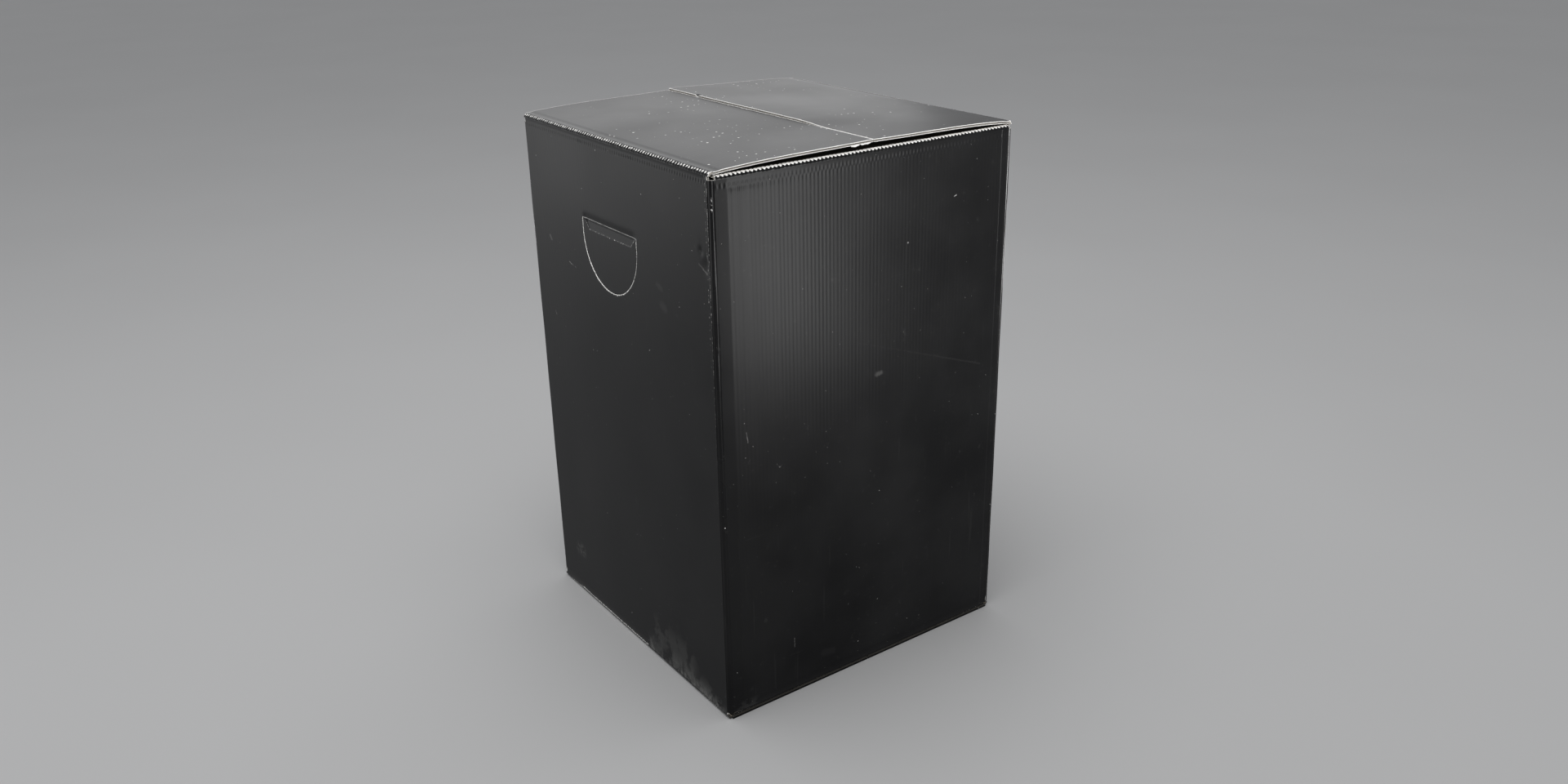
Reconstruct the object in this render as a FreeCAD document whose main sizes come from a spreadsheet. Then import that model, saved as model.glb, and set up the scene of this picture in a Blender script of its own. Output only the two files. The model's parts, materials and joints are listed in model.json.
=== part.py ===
"""Folded shipping carton in single-wall E-flute board, printed black outside.

The carton is a regular slotted box: four walls joined by a glued tab, two
long outer flaps and two inner flaps at each end, and a die-cut hand hole with
a push-in flap in each side wall.  The bottom is glued shut and the top folds
open.  The board is built the way it is made: an outer liner, a corrugated
medium and an inner liner, each ply a piece of its own in every panel.

Frame: millimetres, +Z up, +X along the front wall, origin at the middle of
the base.  The front wall faces -Y and the left wall faces -X.
"""
import FreeCAD, Part
import math
import os
import Sketcher
from FreeCAD import Placement, Rotation, Vector

DIMENSIONS = [
    ("box_width", 272.0, "outside width, along X"),
    ("box_depth", 276.0, "outside depth, along Y"),
    ("wall_height", 424.0, "base to the top of the outer flaps' folds"),
    ("outer_liner_thickness", 0.40, "printed and coated outer liner"),
    ("flute_height", 1.25, "corrugated medium, crest to crest"),
    ("inner_liner_thickness", 0.30, "plain inner liner"),
    ("medium_thickness", 0.25, "paper of the corrugated medium"),
    ("flute_pitch", 3.30, "E-flute, one full wave"),
    ("corner_radius", 4.0, "outside radius of the upright corners"),
    ("fold_radius", 3.0, "outside radius of the flaps' folds"),
    ("fold_gap", 0.30, "between an outer flap and its fold"),
    ("inner_fold_gap", 0.60, "between an inner top flap and its fold"),
    ("inner_fold_drop", 2.70, "inner flaps' folds below the outer ones"),
    ("flap_length", 135.7, "hinge line to the free edge of an outer flap"),
    ("inner_flap_length", 135.8, "hinge line to the free edge of an inner flap"),
    ("flap_raise", 1.5, "degrees that the closed outer top flaps stand up"),
    ("outer_flap_inset", 0.5, "outer flap's side edge behind the wall face"),
    ("fold_end_inset", 2.0, "end of an outer fold behind the wall face"),
    ("slot_width", 4.6, "wall face to the side edge of an inner flap"),
    ("tab_side_relief", 2.4, "extra slot beside the glue tab"),
    ("tab_width", 35.0, "glue tab, from its fold to its free edge"),
    ("tab_taper", 12.0, "glue tab's free edge shorter at each end"),
    ("tab_glue_thickness", 0.20, "adhesive between tab and side wall"),
    ("tab_glue_width", 20.0, "adhesive strip on the tab"),
    ("tab_glue_margin", 30.0, "adhesive strip short of the tab's ends"),
    ("raw_edge_inset", 0.5, "side wall's cut edge behind the back face"),
    ("bottom_glue_thickness", 0.30, "hot melt between the bottom flaps"),
    ("bottom_glue_length", 90.0, "one bead of hot melt, along X"),
    ("bottom_glue_width", 8.0, "one bead of hot melt, along Y"),
    ("hand_hole_top", 358.0, "height of the hand flap's fold"),
    ("hand_hole_side", 10.0, "straight side of the D-shaped hole"),
    ("hand_hole_radius", 41.0, "round lower part of the D-shaped hole"),
    ("hand_hole_offset", 4.3, "hole's centre beside the wall's centre line"),
    ("hand_kerf", 0.40, "die-cut gap round the hand flap"),
    ("hand_fold_height", 1.5, "crushed strip at the hand flap's fold"),
    ("hand_fold_thickness", 1.2, "board left in that crushed strip"),
    ("hand_fold_gap", 0.3, "between that strip and the hand flap"),
]

FACETS_PER_FLUTE = 8
TINY = 1e-6

BOARD = "(Sizes.outer_liner_thickness + Sizes.flute_height + Sizes.inner_liner_thickness)"
HALF_WIDTH = "Sizes.box_width / 2"
HALF_DEPTH = "Sizes.box_depth / 2"
FLAT_HALF_WIDTH = HALF_WIDTH + " - Sizes.corner_radius"
FLAT_HALF_DEPTH = HALF_DEPTH + " - Sizes.corner_radius"
WALL_TOP = "Sizes.wall_height - Sizes.fold_radius"
INNER_FOLD_TOP = "Sizes.wall_height - Sizes.inner_fold_drop"
INNER_WALL_TOP = INNER_FOLD_TOP + " - Sizes.fold_radius"
INNER_FOLD_BASE = BOARD + " + Sizes.bottom_glue_thickness"
INNER_WALL_BASE = INNER_FOLD_BASE + " + Sizes.fold_radius"
TAB_FACE = HALF_WIDTH + " - " + BOARD + " - Sizes.tab_glue_thickness"
TAB_CORNER = TAB_FACE + " - Sizes.corner_radius"
INNER_FLAP_HALF = HALF_WIDTH + " - Sizes.slot_width"
TAB_SIDE_HALF = INNER_FLAP_HALF + " - Sizes.tab_side_relief"
OUTER_FLAP_HALF = HALF_DEPTH + " - Sizes.outer_flap_inset"
FOLD_END = HALF_DEPTH + " - Sizes.fold_end_inset"
HAND_FLAP_TOP = "Sizes.hand_hole_top - Sizes.hand_fold_height - Sizes.hand_fold_gap"

LEFT, RIGHT = Vector(-1, 0, 0), Vector(1, 0, 0)
FRONT, BACK = Vector(0, -1, 0), Vector(0, 1, 0)
DOWN, UP = Vector(0, 0, -1), Vector(0, 0, 1)


# ---------------------------------------------------------------- document

def make_sheet(doc):
    """Put the driving dimensions in a spreadsheet and return it."""
    sheet = doc.addObject("Spreadsheet::Sheet", "Sizes")
    for row, (alias, value, note) in enumerate(DIMENSIONS, start=1):
        sheet.set(f"A{row}", alias)
        sheet.set(f"B{row}", str(value))
        sheet.set(f"C{row}", note)
        sheet.setAlias(f"B{row}", alias)
    doc.recompute()
    return sheet


def axes_rotation(along_x, along_y):
    """Rotation that turns local X and Y onto two given directions."""
    return Rotation(along_x, along_y, along_x.cross(along_y), "ZXY")


def place(piece, rotation, origin):
    """Turn a piece, then bind its position to the sheet."""
    piece.Placement = Placement(Vector(), rotation)
    for axis, expression in zip("xyz", origin):
        piece.setExpression(f"Placement.Base.{axis}", expression)


def bind(sketch, constraint, name, expression):
    """Add a dimension to a sketch, name it and bind it to the sheet."""
    index = sketch.addConstraint(constraint)
    sketch.renameConstraint(index, name)
    sketch.setExpression(f"Constraints.{name}", expression)


def new_body(doc, label):
    body = doc.addObject("PartDesign::Body", label)
    body.Label = label
    return body


def new_sketch(body, name, depth):
    """Sketch on the body's XY plane, moved along the normal by an expression."""
    planes = [item for item in body.Origin.OriginFeatures if item.Role == "XY_Plane"]
    sketch = body.newObject("Sketcher::SketchObject", f"{body.Name}_{name}")
    sketch.AttachmentSupport = [(planes[0], "")]
    sketch.MapMode = "FlatFace"
    sketch.setExpression("AttachmentOffset.Base.z", depth)
    return sketch


def pad(body, sketch, length):
    feature = body.newObject("PartDesign::Pad", f"{body.Name}_pad")
    feature.Profile = sketch
    feature.setExpression("Length", length)
    sketch.Visibility = False
    return feature


# ---------------------------------------------------------------- outlines

# The coordinates that an outline starts with only put its lines in order.
# The dimensions bound to the sheet set every size.

def closed_lines(sketch, points):
    """Straight closed outline through some points."""
    corners = [Vector(x, y, 0) for x, y in points]
    following = corners[1:] + corners[:1]
    for start, end in zip(corners, following):
        sketch.addGeometry(Part.LineSegment(start, end), False)
    count = len(corners)
    for here in range(count):
        there = (here + 1) % count
        sketch.addConstraint(Sketcher.Constraint("Coincident", here, 2, there, 1))


def draw_rectangle(sketch, edges):
    """Rectangle set by its distances left, right, start and end from the origin."""
    closed_lines(sketch, [(-10, 10), (10, 10), (10, 20), (-10, 20)])
    for line, way in enumerate(["Horizontal", "Vertical", "Horizontal", "Vertical"]):
        sketch.addConstraint(Sketcher.Constraint(way, line))
    make = Sketcher.Constraint
    bind(sketch, make("DistanceX", 0, 1, -1, 1, 10), "left", edges["left"])
    bind(sketch, make("DistanceX", -1, 1, 0, 2, 10), "right", edges["right"])
    bind(sketch, make("DistanceY", -1, 1, 0, 1, 10), "start", edges["start"])
    bind(sketch, make("DistanceY", -1, 1, 2, 1, 20), "end", edges["end"])


def draw_tab(sketch, edges):
    """Glue tab: full height at its fold, which lies on the Y axis, tapered outwards."""
    closed_lines(sketch, [(0, 10), (0, 60), (-20, 50), (-20, 20)])
    make = Sketcher.Constraint
    sketch.addConstraint(make("PointOnObject", 0, 1, -2))
    sketch.addConstraint(make("Vertical", 0))
    sketch.addConstraint(make("Vertical", 2))
    bind(sketch, make("DistanceX", 2, 1, -1, 1, 20), "width", edges["width"])
    bind(sketch, make("DistanceY", -1, 1, 0, 1, 10), "start", edges["start"])
    bind(sketch, make("DistanceY", -1, 1, 0, 2, 60), "end", edges["end"])
    bind(sketch, make("DistanceY", 0, 1, 3, 1, 10), "lower_taper", "Sizes.tab_taper")
    bind(sketch, make("DistanceY", 2, 1, 0, 2, 10), "upper_taper", "Sizes.tab_taper")


def draw_hand_outline(sketch, top, radius):
    """D outline: a straight top, short upright sides and a half round below.

    Its centre line is beside the wall's, on the side of local -X, and the
    half round's centre is hand_hole_side below the hole's top.
    """
    middle = Vector(-4, 340, 0)
    size = 40
    rise = 10
    left, right = middle.x - size, middle.x + size
    arc = Part.ArcOfCircle(Part.Circle(middle, UP, size), math.pi, 2 * math.pi)
    sketch.addGeometry(arc, False)
    corners = [Vector(right, middle.y, 0), Vector(right, middle.y + rise, 0),
               Vector(left, middle.y + rise, 0), Vector(left, middle.y, 0)]
    for start, end in zip(corners, corners[1:]):
        sketch.addGeometry(Part.LineSegment(start, end), False)
    make = Sketcher.Constraint
    for here, there in [(0, 1), (1, 2), (2, 3), (3, 0)]:
        sketch.addConstraint(make("Coincident", here, 2, there, 1))
    sketch.addConstraint(make("Vertical", 1))
    sketch.addConstraint(make("Horizontal", 2))
    sketch.addConstraint(make("Vertical", 3))
    sketch.addConstraint(make("Horizontal", 0, 1, 0, 3))
    sketch.addConstraint(make("Horizontal", 0, 2, 0, 3))
    centre_height = "Sizes.hand_hole_top - Sizes.hand_hole_side"
    bind(sketch, make("Radius", 0, size), "radius", radius)
    bind(sketch, make("DistanceX", 0, 3, -1, 1, 4), "offset", "Sizes.hand_hole_offset")
    bind(sketch, make("DistanceY", -1, 1, 0, 3, 340), "centre_height", centre_height)
    bind(sketch, make("DistanceY", -1, 1, 2, 1, 350), "top", top)


# ---------------------------------------------------------------- board

def liner(doc, label, draw, edges, depth, thickness):
    """One flat ply, drawn by one of the outline functions."""
    body = new_body(doc, label)
    sketch = new_sketch(body, "outline", depth)
    draw(sketch, edges)
    pad(body, sketch, thickness)
    return body


def cut_hand_hole(body, depth):
    """Die-cut the D-shaped hand hole through a wall's ply."""
    doc = body.Document
    doc.recompute()
    before = body.Shape.Volume
    sketch = new_sketch(body, "hand_hole", depth)
    draw_hand_outline(sketch, "Sizes.hand_hole_top", "Sizes.hand_hole_radius")
    pocket = body.newObject("PartDesign::Pocket", f"{body.Name}_pocket")
    pocket.Profile = sketch
    pocket.Type = "ThroughAll"
    pocket.Midplane = True
    sketch.Visibility = False
    doc.recompute()
    if body.Shape.Volume >= before:
        raise RuntimeError(f"{body.Label}: the hand hole cuts nothing")


def wave_block(left, right, start, end, size):
    """Corrugated medium between the two liners, its crests running along local Y.

    The wave is a cosine sampled so that each crest and trough ends in a flat
    facet, which is where the medium is glued to a liner.
    """
    pitch = size["flute_pitch"]
    step = pitch / FACETS_PER_FLUTE
    middle = -size["outer_liner_thickness"] - size["flute_height"] / 2
    swing = (size["flute_height"] - size["medium_thickness"]) / 2
    half = size["medium_thickness"] / 2
    first = math.ceil(-left / step - 0.5)
    last = math.floor(right / step - 0.5)
    upper, lower = [], []
    for index in range(first, last + 1):
        across = (index + 0.5) * step
        wave = math.cos(2 * math.pi * across / pitch) / math.cos(math.pi / FACETS_PER_FLUTE)
        upper.append(Vector(across, start, middle + swing * wave + half))
        lower.append(Vector(across, start, middle + swing * wave - half))
    outline = upper + lower[::-1] + upper[:1]
    return Part.Face(Part.makePolygon(outline)).extrude(Vector(0, end - start, 0))


def is_rectangular(shape):
    """True if a shape fills its own bounding box."""
    box = shape.BoundBox
    return abs(shape.Volume / (box.XLength * box.YLength * box.ZLength) - 1) < TINY


def fluting(doc, label, outer_liner, size):
    """Medium cut to the same outline as the outer liner above it."""
    template = outer_liner.Shape.copy()
    template.Placement = outer_liner.Placement.inverse().multiply(template.Placement)
    box = template.BoundBox
    wave = wave_block(-box.XMin, box.XMax, box.YMin, box.YMax, size)
    if not is_rectangular(template):
        top = [face for face in template.Faces if face.CenterOfMass.z > box.ZMax - TINY]
        depth = size["outer_liner_thickness"] + size["flute_height"]
        wave = wave.common(top[0].extrude(DOWN * depth))
        wave = wave.Solids[0] if len(wave.Solids) == 1 else wave
    piece = doc.addObject("Part::Feature", label)
    piece.Label = label
    piece.Shape = wave
    return piece


def panel(doc, size, name, outward, along, origin, edges,
          draw=draw_rectangle, hand_hole=False):
    """Build the three plies of one panel.

    Local X lies across the flutes, local Y runs along them and local Z faces
    outwards, with the outer face at Z = 0.
    """
    outer_depth = "-Sizes.outer_liner_thickness"
    inner_depth = f"-{BOARD}"
    outer = liner(doc, f"{name}_outer_liner", draw, edges,
                  outer_depth, "Sizes.outer_liner_thickness")
    inner = liner(doc, f"{name}_inner_liner", draw, edges,
                  inner_depth, "Sizes.inner_liner_thickness")
    if hand_hole:
        cut_hand_hole(outer, outer_depth)
        cut_hand_hole(inner, inner_depth)
    doc.recompute()
    medium = fluting(doc, f"{name}_fluting", outer, size)
    rotation = axes_rotation(along.cross(outward), along)
    plies = [outer, medium, inner]
    for ply in plies:
        place(ply, rotation, origin)
    return plies


def crease(doc, label, origin, first_side, second_side, length, radius):
    """Crushed board at a fold: a quarter ring from one panel round to the next.

    origin is the ring's centre at one end, and the ring runs from there along
    the cross product of the two sides.
    """
    body = new_body(doc, label)
    sketch = new_sketch(body, "section", "0")
    outer, inner = 4.0, 2.0
    for size in (outer, inner):
        circle = Part.Circle(Vector(), UP, size)
        sketch.addGeometry(Part.ArcOfCircle(circle, 0, math.pi / 2), False)
    sketch.addGeometry(Part.LineSegment(Vector(inner, 0, 0), Vector(outer, 0, 0)), False)
    sketch.addGeometry(Part.LineSegment(Vector(0, outer, 0), Vector(0, inner, 0)), False)
    make = Sketcher.Constraint
    for arc in (0, 1):
        sketch.addConstraint(make("Coincident", arc, 3, -1, 1))
        sketch.addConstraint(make("PointOnObject", arc, 1, -1))
        sketch.addConstraint(make("PointOnObject", arc, 2, -2))
    joined = [((2, 2), (0, 1)), ((0, 2), (3, 1)), ((3, 2), (1, 2)), ((1, 1), (2, 1))]
    for here, there in joined:
        sketch.addConstraint(make("Coincident", *here, *there))
    bind(sketch, make("Radius", 0, outer), "outer_radius", radius)
    bind(sketch, make("Radius", 1, inner), "inner_radius", f"{radius} - {BOARD}")
    pad(body, sketch, length)
    place(body, axes_rotation(first_side, second_side), origin)
    return body


def group(doc, label, members):
    """Identical pieces in one node, as separate solids."""
    compound = doc.addObject("Part::Compound", label)
    compound.Label = label
    compound.Links = members
    for member in members:
        member.Visibility = False
    return compound


def block(doc, name, origin, lengths):
    """Rectangular block with its low corner at origin, all bound to the sheet."""
    box = doc.addObject("Part::Box", name)
    for side, expression in zip(("Length", "Width", "Height"), lengths):
        box.setExpression(side, expression)
    place(box, Rotation(), origin)
    return box


# ---------------------------------------------------------------- sub-parts

def make_walls(doc, size):
    """Four walls; the right one ends in the raw edge of the glued joint."""
    inner_span = {"start": INNER_WALL_BASE, "end": INNER_WALL_TOP}
    outer_span = {"start": "Sizes.fold_radius", "end": WALL_TOP}
    front = {"left": FLAT_HALF_WIDTH, "right": FLAT_HALF_WIDTH, **inner_span}
    back = {"left": TAB_CORNER, "right": FLAT_HALF_WIDTH, **inner_span}
    left = {"left": FLAT_HALF_DEPTH, "right": FLAT_HALF_DEPTH, **outer_span}
    right = {"left": FLAT_HALF_DEPTH, "right": f"{HALF_DEPTH} - Sizes.raw_edge_inset",
             **outer_span}
    walls = [
        ("front_wall", FRONT, ("0", f"-{HALF_DEPTH}", "0"), front, False),
        ("back_wall", BACK, ("0", HALF_DEPTH, "0"), back, False),
        ("left_wall", LEFT, (f"-{HALF_WIDTH}", "0", "0"), left, True),
        ("right_wall", RIGHT, (HALF_WIDTH, "0", "0"), right, True),
    ]
    plies = []
    for name, outward, origin, edges, hand_hole in walls:
        plies += panel(doc, size, name, outward, UP, origin, edges, hand_hole=hand_hole)
    return plies


def make_corner_creases(doc):
    """Upright folds between the walls, and the one that leads to the glue tab."""
    height = f"({INNER_WALL_TOP}) - ({INNER_WALL_BASE})"
    centres = [
        ("front_left_corner_crease", f"-({FLAT_HALF_WIDTH})", f"-({FLAT_HALF_DEPTH})", LEFT, FRONT),
        ("front_right_corner_crease", FLAT_HALF_WIDTH, f"-({FLAT_HALF_DEPTH})", FRONT, RIGHT),
        ("back_left_corner_crease", f"-({FLAT_HALF_WIDTH})", FLAT_HALF_DEPTH, BACK, LEFT),
        ("glue_tab_crease", TAB_CORNER, FLAT_HALF_DEPTH, RIGHT, BACK),
    ]
    return [crease(doc, label, (x, y, INNER_WALL_BASE), first, second, height, "Sizes.corner_radius")
            for label, x, y, first, second in centres]


def make_glue_tab(doc, size):
    """Tapered tab on the back wall, glued inside the right wall."""
    edges = {"width": "Sizes.tab_width", "start": INNER_WALL_BASE, "end": INNER_WALL_TOP}
    origin = (TAB_FACE, FLAT_HALF_DEPTH, "0")
    plies = panel(doc, size, "glue_tab", RIGHT, UP, origin, edges, draw=draw_tab)
    low = f"{INNER_WALL_BASE} + Sizes.tab_glue_margin"
    near = f"{FLAT_HALF_DEPTH} - (Sizes.tab_width + Sizes.tab_glue_width) / 2"
    height = f"({INNER_WALL_TOP}) - ({INNER_WALL_BASE}) - 2 * Sizes.tab_glue_margin"
    adhesive = block(doc, "glue_tab_adhesive", (TAB_FACE, near, low),
                     ("Sizes.tab_glue_thickness", "Sizes.tab_glue_width", height))
    adhesive.Label = "glue_tab_adhesive"
    return plies + [adhesive]


def make_top_flaps(doc, size):
    """Outer flaps on the side walls, a little raised, over the flat inner ones."""
    lift = math.radians(size["flap_raise"])
    outer = {"left": OUTER_FLAP_HALF, "right": OUTER_FLAP_HALF,
             "start": "Sizes.fold_radius + Sizes.fold_gap", "end": "Sizes.flap_length"}
    inner_span = {"start": "Sizes.fold_radius + Sizes.inner_fold_gap",
                  "end": "Sizes.inner_flap_length"}
    front = {"left": INNER_FLAP_HALF, "right": INNER_FLAP_HALF, **inner_span}
    back = {"left": TAB_SIDE_HALF, "right": INNER_FLAP_HALF, **inner_span}
    outer_flaps = [("left_top_flap", f"-{HALF_WIDTH}", RIGHT),
                   ("right_top_flap", HALF_WIDTH, LEFT)]
    inner_flaps = [("front_inner_top_flap", f"-{HALF_DEPTH}", BACK, front),
                   ("back_inner_top_flap", HALF_DEPTH, FRONT, back)]
    plies = []
    for name, side, inward in outer_flaps:
        along = inward * math.cos(lift) + UP * math.sin(lift)
        outward = UP * math.cos(lift) - inward * math.sin(lift)
        plies += panel(doc, size, name, outward, along, (side, "0", "Sizes.wall_height"), outer)
    for name, side, inward, edges in inner_flaps:
        plies += panel(doc, size, name, UP, inward, ("0", side, INNER_FOLD_TOP), edges)
    return plies


def make_bottom_flaps(doc, size):
    """Outer flaps lie on the ground and the inner ones are glued on top of them."""
    outer = {"left": OUTER_FLAP_HALF, "right": OUTER_FLAP_HALF,
             "start": "Sizes.fold_radius", "end": "Sizes.flap_length"}
    inner_span = {"start": "Sizes.fold_radius", "end": "Sizes.inner_flap_length"}
    front = {"left": INNER_FLAP_HALF, "right": INNER_FLAP_HALF, **inner_span}
    back = {"left": INNER_FLAP_HALF, "right": TAB_SIDE_HALF, **inner_span}
    outer_flaps = [("left_bottom_flap", f"-{HALF_WIDTH}", RIGHT),
                   ("right_bottom_flap", HALF_WIDTH, LEFT)]
    inner_flaps = [("front_inner_bottom_flap", f"-{HALF_DEPTH}", BACK, front),
                   ("back_inner_bottom_flap", HALF_DEPTH, FRONT, back)]
    plies = []
    for name, side, inward in outer_flaps:
        plies += panel(doc, size, name, DOWN, inward, (side, "0", "0"), outer)
    for name, side, inward, edges in inner_flaps:
        plies += panel(doc, size, name, DOWN, inward, ("0", side, INNER_FOLD_BASE), edges)
    return plies


def make_fold_creases(doc):
    """Level folds where the flaps leave the walls, at the top and at the bottom."""
    side_x = f"{HALF_WIDTH} - Sizes.fold_radius"
    end_y = f"{HALF_DEPTH} - Sizes.fold_radius"
    length = f"2 * ({FOLD_END})"
    inner_length = f"2 * ({INNER_FLAP_HALF})"
    tab_length = f"({INNER_FLAP_HALF}) + ({TAB_SIDE_HALF})"

    def fold(label, x, y, z, first, second, run):
        return crease(doc, label, (x, y, z), first, second, run, "Sizes.fold_radius")

    top = [
        fold("left_top_crease", f"-({side_x})", FOLD_END, WALL_TOP, UP, LEFT, length),
        fold("right_top_crease", side_x, f"-({FOLD_END})", WALL_TOP, UP, RIGHT, length),
        fold("front_top_crease", f"-({INNER_FLAP_HALF})", f"-({end_y})",
             INNER_WALL_TOP, UP, FRONT, inner_length),
        fold("back_top_crease", TAB_SIDE_HALF, end_y, INNER_WALL_TOP, UP, BACK, tab_length),
    ]
    side_pair = [
        fold("left_bottom_fold", f"-({side_x})", f"-({FOLD_END})",
             "Sizes.fold_radius", DOWN, LEFT, length),
        fold("right_bottom_fold", side_x, FOLD_END,
             "Sizes.fold_radius", DOWN, RIGHT, length),
    ]
    end_pair = [
        fold("front_bottom_fold", INNER_FLAP_HALF, f"-({end_y})",
             INNER_WALL_BASE, DOWN, FRONT, inner_length),
        fold("back_bottom_fold", f"-({INNER_FLAP_HALF})", end_y,
             INNER_WALL_BASE, DOWN, BACK, tab_length),
    ]
    pairs = [group(doc, "side_bottom_creases", side_pair), group(doc, "end_bottom_creases", end_pair)]
    return top + pairs


def make_hand_flaps(doc, size):
    """Push-in flaps in the hand holes, and the crushed strips they hang from."""
    edges = {"top": HAND_FLAP_TOP, "radius": "Sizes.hand_hole_radius - Sizes.hand_kerf"}

    def draw(sketch, sizes):
        draw_hand_outline(sketch, sizes["top"], sizes["radius"])

    plies = []
    for name, outward, side in [("left_hand_flap", LEFT, f"-{HALF_WIDTH}"),
                                ("right_hand_flap", RIGHT, HALF_WIDTH)]:
        plies += panel(doc, size, name, outward, UP, (side, "0", "0"), edges, draw=draw)
    half = "(Sizes.hand_hole_radius - Sizes.hand_kerf)"
    low = "Sizes.hand_hole_top - Sizes.hand_fold_height"
    lengths = ("Sizes.hand_fold_thickness", f"2 * {half}", "Sizes.hand_fold_height")
    left_corner = (f"-{HALF_WIDTH} + {BOARD} - Sizes.hand_fold_thickness",
                   f"Sizes.hand_hole_offset - {half}", low)
    right_corner = (f"{HALF_WIDTH} - {BOARD}", f"-Sizes.hand_hole_offset - {half}", low)
    strips = [block(doc, "left_hand_fold", left_corner, lengths),
              block(doc, "right_hand_fold", right_corner, lengths)]
    return plies + [group(doc, "hand_flap_creases", strips)]


def make_bottom_glue(doc):
    """Four beads of hot melt between the outer and the inner bottom flaps."""
    lengths = ("Sizes.bottom_glue_length", "Sizes.bottom_glue_width",
               "Sizes.bottom_glue_thickness")
    beads = []
    for row, x_sign in enumerate("-+"):
        for column, y_sign in enumerate("-+"):
            origin = (f"{x_sign}{HALF_WIDTH} / 2 - Sizes.bottom_glue_length / 2",
                      f"{y_sign}{HALF_DEPTH} / 2 - Sizes.bottom_glue_width / 2", BOARD)
            beads.append(block(doc, f"hot_melt_bead_{row}{column}", origin, lengths))
    return group(doc, "bottom_flap_glue", beads)


# ---------------------------------------------------------------- output

def check(doc, nodes):
    """Stop if anything failed to build."""
    for item in doc.Objects:
        if "Invalid" in item.State or "Error" in item.State:
            raise RuntimeError(f"{item.Label} did not build: {item.State}")
    for node in nodes:
        if node.Shape.isNull() or not node.Shape.isValid() or not node.Shape.Solids:
            raise RuntimeError(f"{node.Label} has no valid solid")


def main():
    doc = FreeCAD.newDocument("carton")
    sheet = make_sheet(doc)
    size = {alias: float(sheet.get(alias)) for alias, _, _ in DIMENSIONS}
    nodes = make_walls(doc, size)
    nodes += make_corner_creases(doc)
    nodes += make_glue_tab(doc, size)
    nodes += make_top_flaps(doc, size)
    nodes += make_bottom_flaps(doc, size)
    nodes += make_fold_creases(doc)
    nodes += make_hand_flaps(doc, size)
    nodes.append(make_bottom_glue(doc))
    doc.recompute()
    check(doc, nodes)
    os.makedirs("parts", exist_ok=True)
    for node in nodes:
        node.Shape.exportStep(f"parts/{node.Label}.step")
    print(f"{len(nodes)} nodes written")


main()
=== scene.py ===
"""Looks of the black shipping carton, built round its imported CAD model.

Every ply that shows is rebuilt as a finer mesh in the place of its CAD solid:
liners with the washboard that the flutes print through, crushed folds, the
push-in hand flaps, and the wear, scratches and dust of a used carton.

Sizes and places are in millimetres, in the frame of the CAD model, and become
metres when a mesh is made.
"""
import json
import math

import bpy
import numpy as np
from mathutils import Matrix, Vector


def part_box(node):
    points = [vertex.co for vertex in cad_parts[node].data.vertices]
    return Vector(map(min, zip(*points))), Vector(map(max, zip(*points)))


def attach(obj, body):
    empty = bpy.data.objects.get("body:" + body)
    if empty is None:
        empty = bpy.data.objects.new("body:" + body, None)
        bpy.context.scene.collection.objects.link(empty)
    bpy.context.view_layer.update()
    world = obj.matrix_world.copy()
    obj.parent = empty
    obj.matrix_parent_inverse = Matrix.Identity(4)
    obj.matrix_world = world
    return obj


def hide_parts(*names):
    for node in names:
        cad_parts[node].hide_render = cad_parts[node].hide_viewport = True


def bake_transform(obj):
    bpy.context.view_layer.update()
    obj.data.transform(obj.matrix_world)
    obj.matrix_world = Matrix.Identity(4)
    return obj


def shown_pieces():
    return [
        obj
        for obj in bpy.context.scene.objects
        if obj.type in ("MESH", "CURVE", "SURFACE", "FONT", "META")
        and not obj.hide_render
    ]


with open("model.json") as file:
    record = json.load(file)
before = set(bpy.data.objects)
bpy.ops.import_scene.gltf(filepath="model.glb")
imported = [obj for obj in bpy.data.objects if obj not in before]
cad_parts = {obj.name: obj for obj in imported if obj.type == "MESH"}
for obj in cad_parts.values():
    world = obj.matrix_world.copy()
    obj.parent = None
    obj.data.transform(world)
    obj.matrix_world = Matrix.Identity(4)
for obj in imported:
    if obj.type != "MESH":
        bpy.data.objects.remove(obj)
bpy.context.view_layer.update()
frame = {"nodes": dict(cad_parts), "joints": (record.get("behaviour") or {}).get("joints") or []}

MM = 0.001
OUTER_LINER = 0.40
FLUTE_HEIGHT = 1.25
INNER_LINER = 0.30
BOARD = OUTER_LINER + FLUTE_HEIGHT + INNER_LINER
PITCH = 3.3
MEDIUM = 0.25
SWING = (FLUTE_HEIGHT - MEDIUM) / 2
FLAP_LIFT = math.radians(1.5)
KERF = 0.4

CENTRE_BULGE = 0.8
FLAP_BOW = 1.1
SEAM_STEP = 1.5
SEAM_REACH = 75.0
SEAM_STEP_Y = -88.0
SEAM_STEP_RUN = 42.0
NICK_Y = 92.0
NICK_DEPTH = 1.3

X, Y, UP = np.eye(3)


# ---------------- helpers

def smooth(value):
    """Smooth step from 0 to 1."""
    value = np.clip(value, 0, 1)
    return value * value * (3 - 2 * value)


def bell(distance, width):
    return np.exp(-(distance / width) ** 2)


def spaced(start, end, step, fine=None, margin=0.0):
    """Positions from start to end, closer together within a margin of both ends."""
    if fine is None:
        return np.linspace(start, end, max(2, round((end - start) / step) + 1))
    first = spaced(start, start + margin, fine)
    middle = spaced(start + margin, end - margin, step)
    last = spaced(end - margin, end, fine)
    return np.concatenate([first, middle[1:], last[1:]])


def waviness(u, v, size=1.0, shift=0.0):
    """Slow unevenness of a panel that has been handled."""
    return size * (np.sin(u / 41 + shift) * np.cos(v / 53 + 2 * shift)
                   + 0.5 * np.sin(u / 19 + v / 31 + 3 * shift))


# ---------------- meshes

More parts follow.
